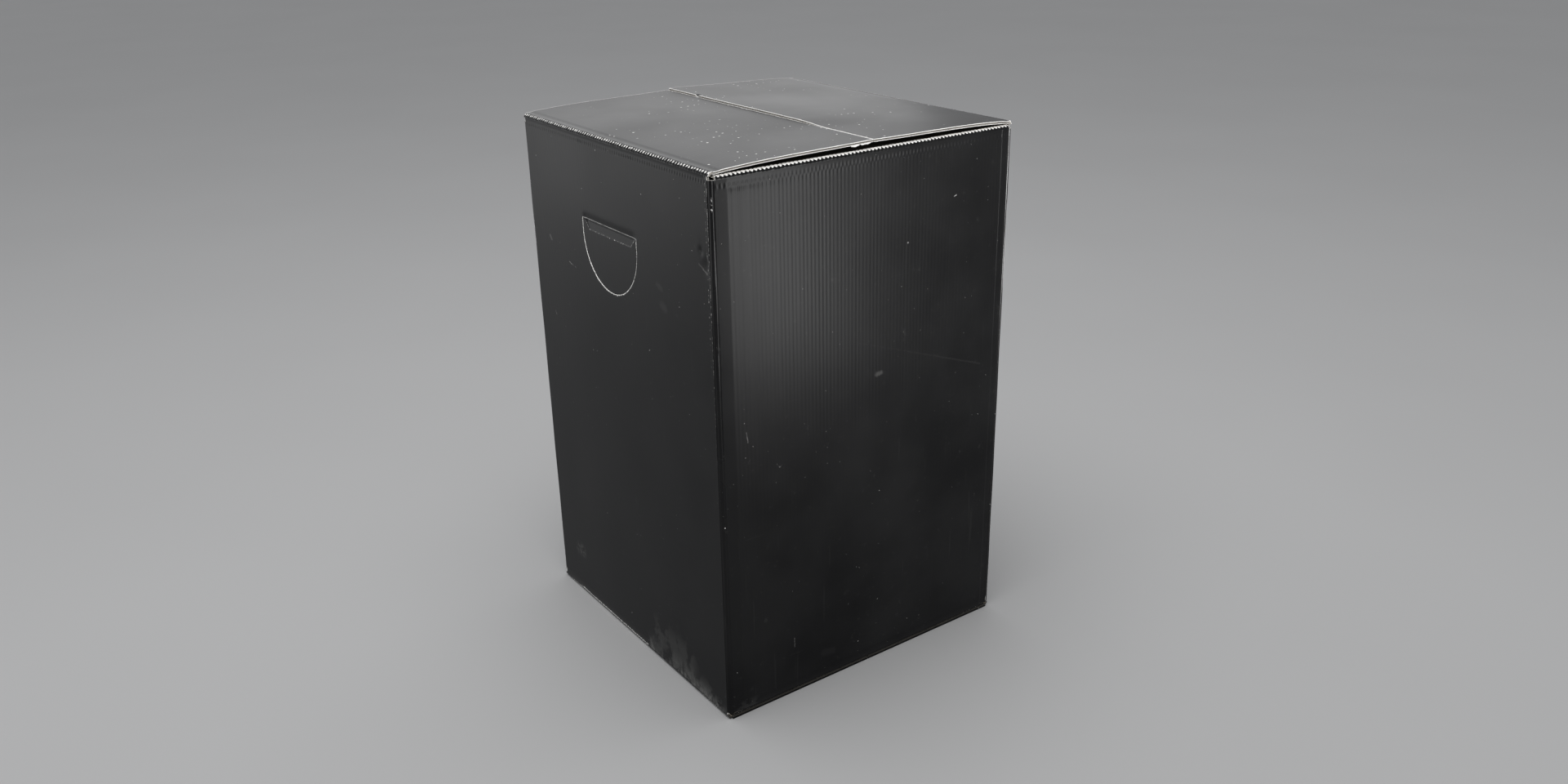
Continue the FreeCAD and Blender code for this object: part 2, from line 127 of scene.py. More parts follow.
def make_object(name, points, faces, materials, kinds, wear_and_highlights):
    """Mesh object from points in millimetres, with material and wear per face and point; the wear
    also holds painted highlights.
    """
    mesh = bpy.data.meshes.new(name)
    mesh.from_pydata((points * MM).tolist(), [], faces.tolist())
    for material in materials:
        mesh.materials.append(material)
    mesh.polygons.foreach_set("material_index", kinds)
    mesh.polygons.foreach_set("use_smooth", np.ones(len(faces), bool))
    stored = mesh.attributes.new("wear_and_highlights", "FLOAT", "POINT").data
    stored.foreach_set("value", wear_and_highlights.astype(np.float32))
    mesh.set_sharp_from_angle(angle=SHARP_ANGLE)
    mesh.validate()
    piece = bpy.data.objects.new(name, mesh)
    bpy.context.scene.collection.objects.link(piece)
    return piece


SHARP_ANGLE = math.radians(38)


def shell(name, top, bottom, materials, cells=None, wear_and_highlights=None):
    """Closed sheet between two matching grids of points.

    materials are for the top, the underside and the cut edges.  cells says
    which squares of the grid are there.
    """
    columns, rows = top.shape[:2]
    count = columns * rows
    number = np.arange(count).reshape(columns, rows)
    corners = [number[:-1, :-1], number[1:, :-1], number[1:, 1:], number[:-1, 1:]]
    upper = np.stack(corners, -1)
    upper = upper.reshape(-1, 4) if cells is None else upper[cells]
    edges = np.concatenate([upper[:, [side, (side + 1) % 4]] for side in range(4)])
    open_edge = ~np.isin(edges[:, 0] * count + edges[:, 1], edges[:, 1] * count + edges[:, 0])
    begin, end = edges[open_edge].T
    rim = np.stack([end, begin, begin + count, end + count], -1)
    faces = np.concatenate([upper, upper[:, ::-1] + count, rim])
    points = np.concatenate([top.reshape(-1, 3), bottom.reshape(-1, 3)])
    wear_and_highlights = np.zeros(count) if wear_and_highlights is None else wear_and_highlights.reshape(-1)
    used, faces = np.unique(faces, return_inverse=True)
    kinds = np.repeat([0, 1, 2], [len(upper), len(upper), len(rim)])
    return make_object(name, points[used], faces.reshape(-1, 4), materials, kinds,
                       np.concatenate([wear_and_highlights, wear_and_highlights])[used])


def finish_piece(piece, replaced, body, blend=None):
    """Hide the CAD nodes that a piece stands for, and hang it from the empty of its body, or bake
    its place into its mesh when a bend is given.
    """
    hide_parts(*replaced)
    if blend is None:
        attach(piece, body)
    else:
        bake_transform(piece)


# ---------------- panels

class Panel:
    """One panel of board in its own frame.

    u runs across the flutes, v along them, and depth in from the outer face.
    relief(panel, u, v) gives how far the outer and the inner face stand out.
    """

    def __init__(self, name, along, outward, relief, origin=None, washboard=0.008, free=(),
                 columns_per_flute=4):
        low, high = (np.array(corner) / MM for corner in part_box(f"{name}_outer_liner"))
        self.name, self.relief = name, relief
        self.body = name if name.endswith("flap") else "root"
        self.along, self.outward = along, outward
        self.across = np.cross(along, outward)
        self.origin = outward * max(low @ outward, high @ outward) if origin is None else origin
        level = along if abs(along[2]) > 0.5 else along * [1, 1, 0]
        self.v0, self.v1 = sorted((corner - self.origin) @ level / (level @ level)
                                  for corner in (low, high))
        self.u0, self.u1 = sorted((corner - self.origin) @ self.across for corner in (low, high))
        self.washboard, self.free, self.columns_per_flute = washboard, free, columns_per_flute

    def place(self, u, v, depth, raised=0.0):
        outer, inner = self.relief(self, u, v)
        share = depth / BOARD
        height = outer * (1 - share) + inner * share - depth + raised
        u, v, height = (part[..., None] for part in np.broadcast_arrays(u, v, height))
        return self.origin + u * self.across + v * self.along + height * self.outward

    def from_edges(self, u, v):
        """Distances from the left, right, start and end edges."""
        return {"left": u - self.u0, "right": self.u1 - u,
                "start": v - self.v0, "end": self.v1 - v}

    def ripple(self, u, v):
        """Washboard: the outer liner sags between the flute tips it is glued to."""
        fade = 1.0
        for edge, distance in self.from_edges(u, v).items():
            if edge not in self.free:
                fade = fade * smooth((distance - FOLD_BAND[edge] + 1) / 2)
        if self.along is UP:
            rise = smooth((v - WASHBOARD_FOOT) / WASHBOARD_RISE)
            across = (u - self.u0) / (self.u1 - self.u0)
            fade = fade * (WASHBOARD_LOW + (1 - WASHBOARD_LOW) * rise)
            fade = fade * (1 - WASHBOARD_LOSS * smooth(across * WASHBOARD_FADE))
            fade = fade * UNEVEN_FLUTES[np.round(u / PITCH).astype(int) % len(UNEVEN_FLUTES)]
            fade = fade * (1 + TICKS * bell(self.v1 - v - TICK_PLACE, TICK_REACH))
        return -self.washboard * (1 - np.cos(2 * math.pi * u / PITCH)) * fade

    def painted_edge_highlights(self, u, v):
        """Two painted highlight lines up the left wall beside the front corner, fainter low down.
        """
        lines = sum(amount * bell(self.u1 - u - place, HIGHLIGHT_WIDTH)
                    for place, amount in EDGE_HIGHLIGHTS)
        return lines * (HIGHLIGHT_LOW + HIGHLIGHT_RISE * smooth((v - HIGHLIGHT_FOOT) / HIGHLIGHT_RUN))

    def edge_wear(self, u, v):
        distances = self.from_edges(u, v)
        wear_and_highlights = np.zeros(np.broadcast(u, v).shape)
        for edge in self.free:
            wear_and_highlights = np.maximum(wear_and_highlights, np.exp(-distances[edge] / WEAR_REACH))
        return wear_and_highlights


FOLD_BAND = {"left": 9.6, "right": 7.0, "start": 5.0, "end": 4.6}
BAND_DEPTH = 0.26
CORNER_LEAN = 0.75
WEAR_REACH = 0.9
# Share of the washboard low down, where it grows up the wall, what it loses
# toward the right and how soon, and how much stronger it is below the top fold.
WASHBOARD_LOW = 0.15
WASHBOARD_FOOT = 110.0
WASHBOARD_RISE = 160.0
WASHBOARD_LOSS = 0.6
WASHBOARD_FADE = 1.6
TICKS = 1.6
TICK_PLACE = FOLD_BAND["end"] + 3
TICK_REACH = 1.8
UNEVEN_FLUTES = np.random.default_rng(5).uniform(0.55, 1.3, 89)
# Painted highlight lines: distance from the corner and amount, then how they grow up the wall.
EDGE_HIGHLIGHTS = ((0.2, 1.0), (2.4, 0.8))
HIGHLIGHT_WIDTH = 0.6
HIGHLIGHT_LOW = 0.42
HIGHLIGHT_RISE = 0.30
HIGHLIGHT_FOOT = 130.0
HIGHLIGHT_RUN = 230.0


def pressed_band(distance, width):
    """Shallow crushed band beside a fold, level again at the fold itself."""
    return -BAND_DEPTH * smooth(distance / 2) * (1 - smooth(distance - width + 0.5))


def wall_relief(panel, u, v):
    """Upright wall: bulged, dented, and pressed in beside its folds."""
    edges = panel.from_edges(u, v)
    width, height = panel.u1 - panel.u0, panel.v1 - panel.v0
    middle = np.sin(math.pi * edges["left"] / width) * np.sin(math.pi * edges["start"] / height)
    shift = 1.7 * panel.across[0] + 0.9 * panel.across[1]
    level = CENTRE_BULGE * middle
    level = level + waviness(u, v, WALL_WAVES, shift) * np.sqrt(np.clip(middle, 0, 1))
    for (across, up), (wide, tall), depth in DENTS.get(panel.name, []):
        fade = smooth(edges["left"] / 3) * smooth(edges["right"] / 3)
        level = level - depth * bell(u - across, wide) * bell(v - up, tall) * fade
    scallop = SCALLOP * np.cos(2 * math.pi * u / PITCH)
    band = pressed_band(edges["start"], FOLD_BAND["start"])
    band = band + pressed_band(edges["end"], FOLD_BAND["end"] + scallop)
    if panel.name in LEANING_WALLS:
        band = band + pressed_band(edges["right"], FOLD_BAND["right"])
        lean = CORNER_LEAN * np.clip(1 - edges["left"] / FOLD_BAND["left"], 0, 1)
        band = band - lean
        level = level - lean / 2
    return level + band, level


WALL_WAVES = 0.16
SCALLOP = 1.1
LEANING_WALLS = ("front_wall", "back_wall")

# Middle of a dent as (u, v), its reach across and up, and its depth.
DENTS = {
    "left_wall": [((124.0, 369.0), (2.4, 3.0), 0.7), ((130.5, 360.0), (5.0, 5.5), 0.8),
                  ((-95.0, 120.0), (30.0, 45.0), 0.5)],
    "front_wall": [((60.0, 300.0), (45.0, 60.0), 0.5)],
    "right_wall": [((-20.0, 90.0), (40.0, 30.0), 0.6)],
    "back_wall": [((-30.0, 180.0), (50.0, 60.0), 0.7)],
}


def hand_wall_relief(panel, u, v):
    """Side wall: the board above the hand hole is bent in where hands pushed the flap."""
    outer, inner = wall_relief(panel, u, v)
    above = bell(v - HAND_TOP, HAND_SHADE) * (v >= HAND_TOP - 0.01)
    ends = 1 - smooth((np.abs(u - HAND_MIDDLE) - HAND_RADIUS + 6) / 8)
    press = HAND_WALL_PRESS * above * ends
    return outer - press, inner - 0.4 * press


def hand_flap_relief(panel, u, v):
    """Hand flap: a tapered band pressed in below its fold, nearly flush below that."""
    level = wall_relief(PANELS["left_wall"], u, v)[1]
    rise = np.clip((v - HAND_BAND_LOW) / (panel.v1 - HAND_BAND_LOW), 0, 1)
    band = smooth(v - HAND_BAND_LOW) * (HAND_BAND_LIGHT + HAND_BAND_SLOPE * rise)
    band = band * smooth(-beside_hand_band(u, v) / 1.5)
    sink = HAND_SINK * smooth((panel.v1 + 1 - v) / 50) + 0.1
    return level - HAND_PRESS * band - sink, level - 0.35 * HAND_PRESS * band - sink


def beside_hand_band(u, v):
    """Distance out from the slanted ends of the pressed band, negative inside it."""
    half = HAND_BAND_HALF + (v - HAND_BAND_LOW) * HAND_BAND_TAPER
    return np.abs(u - HAND_MIDDLE - HAND_BAND_SHIFT) - half


HAND_SHADE = 3.2
HAND_PRESS = 0.55
HAND_WALL_PRESS = 0.85
HAND_SINK = 0.25
HAND_BAND_LOW = 349.8
HAND_BAND_HALF = 31.5
HAND_BAND_TAPER = 0.9
HAND_BAND_SHIFT = 1.0
HAND_BAND_LIGHT = 0.3
HAND_BAND_SLOPE = 0.9


def top_flap_relief(panel, u, v):
    """Outer top flap: bowed, with the right one raised where its edge rides on the left one."""
    share = (v - panel.v0) / (panel.v1 - panel.v0)
    bow = FLAP_BOW * 27 / 4 * share * (1 - share) ** 2    # FLAP_BOW at its highest
    y = panel.across[1] * u
    side = -panel.along[0] / abs(panel.along[0])
    reach = smooth((v - panel.v1 + SEAM_REACH) / SEAM_REACH)
    ridden = smooth((y - SEAM_STEP_Y) / SEAM_STEP_RUN)
    level = bow + (SEAM_STEP * reach * ridden if side > 0 else 0)
    level = level + waviness(u, v, 0.10, side) * smooth((v - panel.v0) / 30)
    if side > 0:
        level = level - NICK_DEPTH * bell(y - NICK_Y, 2.2) * bell(panel.v1 - v, 2.0)
    fold = pressed_band(v - panel.v0, FOLD_BAND["start"])
    lip = LIP_DROP * bell(panel.v1 - v, 0.9)
    return level + fold - lip, level


LIP_DROP = 0.14


def inner_flap_relief(panel, u, v):
    """Inner top flap: sagging a little toward the middle of the box."""
    share = (v - panel.v0) / (panel.v1 - panel.v0)
    level = waviness(u, v, 0.08, 2.0) * smooth((v - panel.v0) / 30) - INNER_SAG * share ** 2
    return level + pressed_band(v - panel.v0, FOLD_BAND["start"]), level


INNER_SAG = 0.5


def tilted(inward):
    """Along and outward directions of an outer flap that stands up a little."""
    sine, cosine = math.sin(FLAP_LIFT), math.cos(FLAP_LIFT)
    return inward * cosine + UP * sine, UP * cosine - inward * sine


def hinge_point(joint_name):
    joint = next(item for item in frame["joints"] if item["name"] == joint_name)
    return np.array(joint["pos_m"]) / MM


def make_panels():
    """The panels whose plies are rebuilt, by name."""
    left_along, left_out = tilted(X)
    right_along, right_out = tilted(-X)
    sides = ("left", "right", "end")
    panels = [
        Panel("front_wall", UP, -Y, wall_relief, washboard=0.042, columns_per_flute=6),
        Panel("back_wall", UP, Y, wall_relief, washboard=0.024, columns_per_flute=5),
        Panel("left_wall", UP, -X, hand_wall_relief, washboard=0.006),
        Panel("right_wall", UP, X, hand_wall_relief, washboard=0.010, free=("right",)),
        Panel("left_top_flap", left_along, left_out, top_flap_relief,
              hinge_point("left_top_flap_hinge"), free=sides),
        Panel("right_top_flap", right_along, right_out, top_flap_relief,
              hinge_point("right_top_flap_hinge"), free=sides),
        Panel("front_inner_top_flap", Y, UP, inner_flap_relief, free=sides),
        Panel("back_inner_top_flap", -Y, UP, inner_flap_relief, free=sides),
        Panel("left_hand_flap", UP, -X, hand_flap_relief),
        Panel("right_hand_flap", UP, X, hand_flap_relief),
    ]
    return {panel.name: panel for panel in panels}


HAND_TOP = 358.0
hand_low, hand_high = (np.array(corner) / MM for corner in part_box("left_hand_flap_outer_liner"))
HAND_FLAP_RADIUS = (hand_high[1] - hand_low[1]) / 2
HAND_RADIUS = HAND_FLAP_RADIUS + KERF
HAND_MIDDLE = -(hand_high[1] + hand_low[1]) / 2
HAND_CENTRE = hand_low[2] + HAND_FLAP_RADIUS
PANELS = make_panels()


# ---------------- grids

def arc_columns(radius, count, trim=0.0):
    """Columns closer together where the half round gets steep."""
    return HAND_MIDDLE - radius * np.cos(np.linspace(trim, math.pi - trim, count))


def arc_height(u, radius):
    return HAND_CENTRE - np.sqrt(np.clip(radius ** 2 - (u - HAND_MIDDLE) ** 2, 0, None))


def plain_grid(us, vs):
    u, v = np.meshgrid(us, vs, indexing="ij")
    return u, v, np.ones((len(us) - 1, len(vs) - 1), bool)


def holed_grid(panel, step, count):
    """Grid of a side wall that follows the outline of its hand hole."""
    left = spaced(panel.u0, HAND_MIDDLE - HAND_RADIUS, step)
    arc = arc_columns(HAND_RADIUS, count)
    right = spaced(HAND_MIDDLE + HAND_RADIUS, panel.u1, step)
    us = np.concatenate([left, arc[1:], right[1:]])
    low = np.concatenate([spaced(panel.v0, panel.v0 + 12, 1.0),
                          spaced(panel.v0 + 12, HAND_CENTRE - 30, 9.0)[1:],
                          spaced(HAND_CENTRE - 30, HAND_CENTRE, 3.0)[1:]])
    side = spaced(HAND_CENTRE, HAND_TOP, 2.0)
    top = np.concatenate([spaced(HAND_TOP, HAND_TOP + 8, 0.7),
                          spaced(HAND_TOP + 8, panel.v1, 7.0, 1.0, 8.0)[1:]])
    u, v, cells = plain_grid(us, np.concatenate([low, side[1:], top[1:]]))
    first, last, rows = len(left) - 1, len(left) + count - 2, len(low)
    inside = slice(first, last + 1)
    scale = (arc_height(u[inside, :rows], HAND_RADIUS) - panel.v0) / (HAND_CENTRE - panel.v0)
    v[inside, :rows] = panel.v0 + (v[inside, :rows] - panel.v0) * scale
    cells[first:last, rows - 1:rows + len(side) - 2] = False
    return u, v, cells


def hand_flap_grid(panel, count):
    """Grid of the D-shaped hand flap."""
    us = arc_columns(HAND_FLAP_RADIUS, count, trim=0.03)
    shares = spaced(0, 1, 0.06, 0.02, 0.06)
    side = spaced(HAND_CENTRE, panel.v1, 0.6)
    u, v, cells = plain_grid(us, np.concatenate([shares, side[1:]]))
    low = arc_height(u[:, :len(shares)], HAND_FLAP_RADIUS)
    v[:, :len(shares)] = low + v[:, :len(shares)] * (HAND_CENTRE - low)
    return u, v, cells


def panel_grid(panel, per_flute, row_step, fine):
    """Grid of any panel, with a number of columns per flute."""
    step = PITCH / per_flute
    if panel.name in ("left_wall", "right_wall"):
        return holed_grid(panel, step, round(HAND_COLUMNS * per_flute / 4))
    if "hand_flap" in panel.name:
        return hand_flap_grid(panel, round(HAND_COLUMNS * per_flute / 4))
    us = spaced(panel.u0, panel.u1, step)
    return plain_grid(us, spaced(panel.v0, panel.v1, row_step, fine, 12.0))


HAND_COLUMNS = 150


def hole_wear(u, v):
    """Wear round the die-cut edge of the hand hole, from 1 at the edge to 0."""
    inside = np.hypot(u - HAND_MIDDLE, np.minimum(v - HAND_CENTRE, 0))
    distance = np.where(v <= HAND_TOP, np.abs(inside - HAND_RADIUS), v - HAND_TOP)
    near = (np.abs(u - HAND_MIDDLE) <= HAND_RADIUS + 2) & (v < HAND_TOP + 3)
    return np.where(near, np.exp(-distance / HOLE_WEAR_REACH), 0)


HOLE_WEAR_REACH = 0.55


# ---------------- plies

def build_outer_liner(panel, looks):
    u, v, cells = panel_grid(panel, panel.columns_per_flute, 9.0, 1.2)
    ripple = panel.ripple(u, v)
    top = panel.place(u, v, 0.0, ripple)
    bottom = panel.place(u, v, OUTER_LINER - 0.01, ripple)
    wear_and_highlights = panel.edge_wear(u, v)
    if "hand" in panel.relief.__name__:
        wear_and_highlights = np.maximum(wear_and_highlights, 0.8 * hole_wear(u, v))
    if panel.name == "left_hand_flap":
        wear_and_highlights = np.maximum(wear_and_highlights, hand_band_wear(u, v))
    if panel.name == "left_wall":
        # On the left wall the wear also takes painted highlight lines beside the front corner.
        wear_and_highlights = np.maximum(np.maximum(wear_and_highlights, bottom_wear(-u, v)), panel.painted_edge_highlights(u, v))
    coat = looks.get(panel.name, looks["coat"])
    piece = shell(f"{panel.name}_coated_liner", top, bottom,
                  [coat, looks["liner_back"], looks["cut_edge"]], cells, wear_and_highlights)
    finish_piece(piece, [f"{panel.name}_outer_liner"], panel.body)


def hand_band_wear(u, v):
    """Rubbed line round the band that hands have pressed in."""
    outside = np.maximum(beside_hand_band(u, v), HAND_BAND_LOW - v)
    return HAND_BAND_WEAR * bell(outside + 0.3, 0.55)


def bottom_wear(y, height):
    """Rubbed paper along the bottom edge of the left wall, behind its front part."""
    along = smooth((y + 16) / 2) * smooth((128 - y) / 30)
    return BOTTOM_WEAR * along * np.exp(-np.clip(height - 3, 0, None) / 2.2)


HAND_BAND_WEAR = 0.68
BOTTOM_WEAR = 0.72


def build_fluting(panel, looks):
    u, v, cells = panel_grid(panel, FLUTE_SAMPLES, 14.0, 6.0)
    middle = OUTER_LINER + FLUTE_HEIGHT / 2 - SWING * np.cos(2 * math.pi * u / PITCH)
    slope = 2 * math.pi * SWING / PITCH * np.sin(2 * math.pi * u / PITCH)
    half = MEDIUM / 2 * np.sqrt(1 + slope ** 2) * FLUTE_SLACK
    top = panel.place(u, v, middle - half)
    bottom = panel.place(u, v, middle + half)
    paper = looks["fluting"]
    piece = shell(f"{panel.name}_flutes", top, bottom, [paper, paper, paper], cells)
    finish_piece(piece, [f"{panel.name}_fluting"], panel.body)


FLUTE_SAMPLES = 8
FLUTE_SLACK = 0.94


def build_inner_liner(panel, looks):
    u, v, cells = panel_grid(panel, 1, 9.0, 3.0)
    top = panel.place(u, v, OUTER_LINER + FLUTE_HEIGHT + 0.01)
    bottom = panel.place(u, v, BOARD)
    piece = shell(f"{panel.name}_kraft_liner", top, bottom,
                  [looks["liner_back"], looks["kraft"], looks["cut_edge"]], cells)
    finish_piece(piece, [f"{panel.name}_inner_liner"], panel.body)


def build_panels(looks):
    for panel in PANELS.values():
        build_outer_liner(panel, looks)
        build_fluting(panel, looks)
        build_inner_liner(panel, looks)


# ---------------- folds

class Fold:
    """Quarter ring of crushed board, from a wall round to the next panel.

    first and second are the outward directions at its two ends.  span is from
    start to end along run, the direction that the ring is swept along.
    """

    def __init__(self, name, centre, first, second, radius, flap=None, bumps=0.0, ridges=0.0):
        self.name, self.centre, self.radius = name, np.array(centre, float), radius
        self.lean = CORNER_LEAN if name in LEANING_FOLDS else 0.0
        self.first, self.second = first, second
        self.run = np.cross(second, first)
        self.span, self.flap = (0.0, 1.0), flap
        self.bumps, self.ridges = bumps, ridges
        self.random = np.random.default_rng(len(name)).uniform(-1, 1, RANDOM_FLUTES)

    def place(self, s, turn, depth):
        """Points at positions s along the fold and angles turn round it."""
        share = turn / (math.pi / 2)
        arch = np.sin(math.pi * share)
        uneven = self.random[np.round(s / PITCH).astype(int) % RANDOM_FLUTES]
        bump = self.bumps * arch * (0.6 * np.cos(2 * math.pi * s / PITCH) - 0.3 + 0.5 * uneven)
        groove = -self.ridges * np.sin(3 * math.pi * share) ** 2 * (1 + 0.3 * np.sin(s / 23))
        slack = 0.5 * self.ridges * arch * np.sin(s / 41 + 1) * np.sin(s / 17)
        sink = self.lean * share * (1 - 0.5 * depth / BOARD)
        reach = self.radius - depth - sink + (bump + groove + slack) * (1 - depth / BOARD)
        ring = (np.cos(turn)[..., None] * self.first + np.sin(turn)[..., None] * self.second)
        return self.centre + reach[..., None] * ring + s[..., None] * self.run

    def grid(self, depth, step):
        """Ring at one depth, carried on to the edge of the flap that hangs from it."""
        along = spaced(*self.span, step)
        s, turn = np.meshgrid(along, np.linspace(0, math.pi / 2, FOLD_STEPS), indexing="ij")
        points = self.place(s, turn, depth)
        if self.flap is not None:
            u = along * (self.run @ self.flap.across)
            points = np.concatenate([points, self.flap.place(u, self.flap.v0, depth)[:, None]], 1)
        return points

    def wear_and_highlights_at(self, step):
        """Rubbed coating, most on the crest and in a few worn places; two places high on the front
        left corner are partly painted glints.
        """
        along = spaced(*self.span, step)
        rows = FOLD_STEPS + (self.flap is not None)
        s, share = np.meshgrid(along, np.linspace(0, 1, rows), indexing="ij")
        amount, first, last = FOLD_WEAR.get(self.name, FOLD_WEAR["other"])
        crest = 0.5 + 0.5 * np.cos(2 * math.pi * s / PITCH)
        wear_and_highlights = amount * smooth((share - first + 0.2 * crest) / 0.2) * smooth((last - share) / 0.2)
        wear_and_highlights = wear_and_highlights * (FOLD_WEAR_BETWEEN + (1 - FOLD_WEAR_BETWEEN) * crest)
        for place, reach, amount, side in WORN_AND_HIGHLIGHT_PLACES.get(self.name, []):
            near = smooth((reach - np.abs(s - place)) / 3 + 0.5)
            wear_and_highlights = np.maximum(wear_and_highlights, amount * near * bell(share - side, 0.3))
        return wear_and_highlights

    def turning(self):
        """Start and end of the bend, clear of the panels that it joins."""
        start = self.centre + self.first * (self.radius - BOARD)
        way = (self.second - self.first) / math.sqrt(2)
        corner = self.flap.place(np.array(0.0), self.flap.v0, BOARD)
        return start, start + way * ((corner - start) @ way)


FOLD_STEPS = 13
RANDOM_FLUTES = 97
FOLD_COLUMN = PITCH / 6
UPRIGHT_COLUMN = 4.0
# Along the fold, half length, amount, and share of the way round it.
WORN_AND_HIGHLIGHT_PLACES = {
    # The first two places on the front left corner paint glints of exposed fibres and glue: partly
    # real wear, partly painted highlight.
    "front_left_corner": [(-402.0, 6.0, 0.55, 0.55), (-390.0, 3.0, 0.5, 0.6),
                          (-165.0, 2.0, 0.6, 0.7)],
    "left_bottom_fold": [(56.0, 70.0, 0.66, 0.25), (-112.0, 18.0, 0.6, 0.25)],
    "right_top_fold": [(-128.0, 8.0, 0.6, 0.5)],
    "front_bottom_fold": [(-118.0, 14.0, 0.5, 0.3), (120.0, 10.0, 0.5, 0.3)],
}


def fold_list():
    """Every fold with the CAD node that it stands for and the width of its columns."""
    side, end, back = (PANELS[f"{name}_wall"] for name in ("left", "front", "back"))
    half_x, half_y = abs(side.origin @ X), abs(end.origin @ Y)
    flat_x, flat_y = half_x - CORNER_RADIUS, half_y - CORNER_RADIUS
    tab_x = abs(back.u0 * back.across[0])
    side_span = (-half_y + 2, half_y - 2)
    front_flap, back_flap = PANELS["front_inner_top_flap"], PANELS["back_inner_top_flap"]
    front_span, back_span = (front_flap.u0, front_flap.u1), (-back_flap.u1, -back_flap.u0)
    folds = [
        corner_fold("front_left_corner", -flat_x, -flat_y, -X, -Y, "front_left_corner_crease"),
        corner_fold("front_right_corner", flat_x, -flat_y, -Y, X, "front_right_corner_crease"),
        corner_fold("back_left_corner", -flat_x, flat_y, Y, -X, "back_left_corner_crease"),
        corner_fold("glue_tab_corner", tab_x, flat_y, X, Y, "glue_tab_crease"),
    ]
    for name, way in (("left", -X), ("right", X)):
        flap = PANELS[f"{name}_top_flap"]
        folds += level_folds(name, way, half_x, side, side_span, flap, "side_bottom_creases")
    for name, way, span in (("front", -Y, front_span), ("back", Y, back_span)):
        flap = PANELS[f"{name}_inner_top_flap"]
        folds += level_folds(name, way, half_y, end, span, flap, "end_bottom_creases")
    return folds


def corner_fold(name, x, y, first, second, node):
    wall = PANELS["front_wall"]
    fold = Fold(name, (x, y, 0), first, second, CORNER_RADIUS, ridges=CORNER_RIDGES)
    fold.span = tuple(sorted(fold.run[2] * z for z in (wall.v0, wall.v1)))
    return fold, node, UPRIGHT_COLUMN


def level_folds(name, way, half, wall, span, flap, low_node):
    """Top and bottom fold of one wall, which faces way."""
    folds = []
    for place, height, turn, node, hanging, bumps in (
            ("top", wall.v1, UP, f"{name}_top_crease", flap, TOP_BUMPS),
            ("bottom", wall.v0, -UP, low_node, None, BOTTOM_BUMPS)):
        centre = way * (half - FOLD_RADIUS) + UP * height
        fold = Fold(f"{name}_{place}_fold", centre, way, turn, FOLD_RADIUS, hanging, bumps=bumps)
        fold.span = tuple(sorted(fold.run.sum() * end for end in span))
        folds.append((fold, node, FOLD_COLUMN))
    return folds


CORNER_RADIUS = 4.0
CORNER_RIDGES = 0.30
FOLD_RADIUS = 3.0
TOP_BUMPS = 0.24
BOTTOM_BUMPS = 0.12
LEANING_FOLDS = ("front_left_corner", "glue_tab_corner")
# How worn the crest is, and the shares of the way round where the wear starts and ends.
FOLD_WEAR = {
    "front_top_fold": (1.2, 0.40, 0.95), "back_top_fold": (0.9, 0.45, 1.0),
    "left_top_fold": (0.75, 0.36, 0.85), "right_top_fold": (0.65, 0.40, 0.8),
    "front_left_corner": (0.1, 0.2, 0.8), "front_right_corner": (0.1, 0.2, 0.8),
    "back_left_corner": (0.1, 0.2, 0.8), "glue_tab_corner": (0.1, 0.2, 0.8),
    "other": (0.3, 0.2, 0.8),
}
FOLD_WEAR_BETWEEN = 0.55


def build_folds(looks):
    for fold, node, step in fold_list():
        outer, seam, inner = (fold.grid(depth, step) for depth in (0.0, OUTER_LINER, BOARD))
        edge, core_edge = ("grimy",) * 2 if "bottom" in fold.name else ("cut_edge", "fluting")
        skin_papers = [looks["fold_coat"], looks["liner_back"], looks[edge]]
        core_papers = [looks["liner_back"], looks["kraft"], looks[core_edge]]
        skin = shell(f"{fold.name}_skin", outer, seam, skin_papers, wear_and_highlights=fold.wear_and_highlights_at(step))
        core = shell(f"{fold.name}_core", seam, inner, core_papers)
        body = fold.flap.body if fold.flap is not None else "root"
        bend = fold.turning() if fold.flap is not None else None
        finish_piece(skin, [node], body, bend)
        finish_piece(core, [node], body, bend)


def build_hand_folds(looks):
    """Crushed strips that the hand flaps hang from."""
    for side in ("left", "right"):
        wall, flap = PANELS[f"{side}_wall"], PANELS[f"{side}_hand_flap"]
        across = HAND_MIDDLE + np.linspace(-HAND_FLAP_RADIUS, HAND_FLAP_RADIUS, HAND_STRIP_COLUMNS)
        u, share = np.meshgrid(across, np.linspace(0, 1, HAND_STRIP_ROWS), indexing="ij")
        part = share[..., None]
        groove = HAND_GROOVE * np.sin(math.pi * part) * wall.outward
        layers = []
        for depth in (0.0, OUTER_LINER, BOARD - HAND_STRIP_RISE):
            low = flap.place(u, flap.v1, depth)
            high = wall.place(u, HAND_TOP, depth)
            layers.append(low * (1 - part) + high * part - groove * (1 - depth / BOARD))
        worn = smooth((share - 0.6) / 0.25) * (0.85 + 0.15 * np.sin(u / 7) * np.sin(u / 3.1))
        skin = shell(f"{side}_hand_fold_skin", layers[0], layers[1],
                     [looks["fold_coat"], looks["liner_back"], looks["cut_edge"]], wear_and_highlights=worn)
        core = shell(f"{side}_hand_fold_core", layers[1], layers[2],
                     [looks["liner_back"], looks["kraft"], looks["fluting"]])
        middle = wall.place(np.array(HAND_MIDDLE), HAND_TOP, BOARD)
        lower = middle - UP * (HAND_TOP - flap.v1)
        for piece, slot in ((skin, "black_coated_paper"), (core, "fluting_paper")):
            finish_piece(piece, ["hand_flap_creases"], flap.body, (middle, lower))


HAND_STRIP_COLUMNS = 90
HAND_STRIP_ROWS = 9
HAND_GROOVE = 0.35
HAND_STRIP_RISE = 0.05


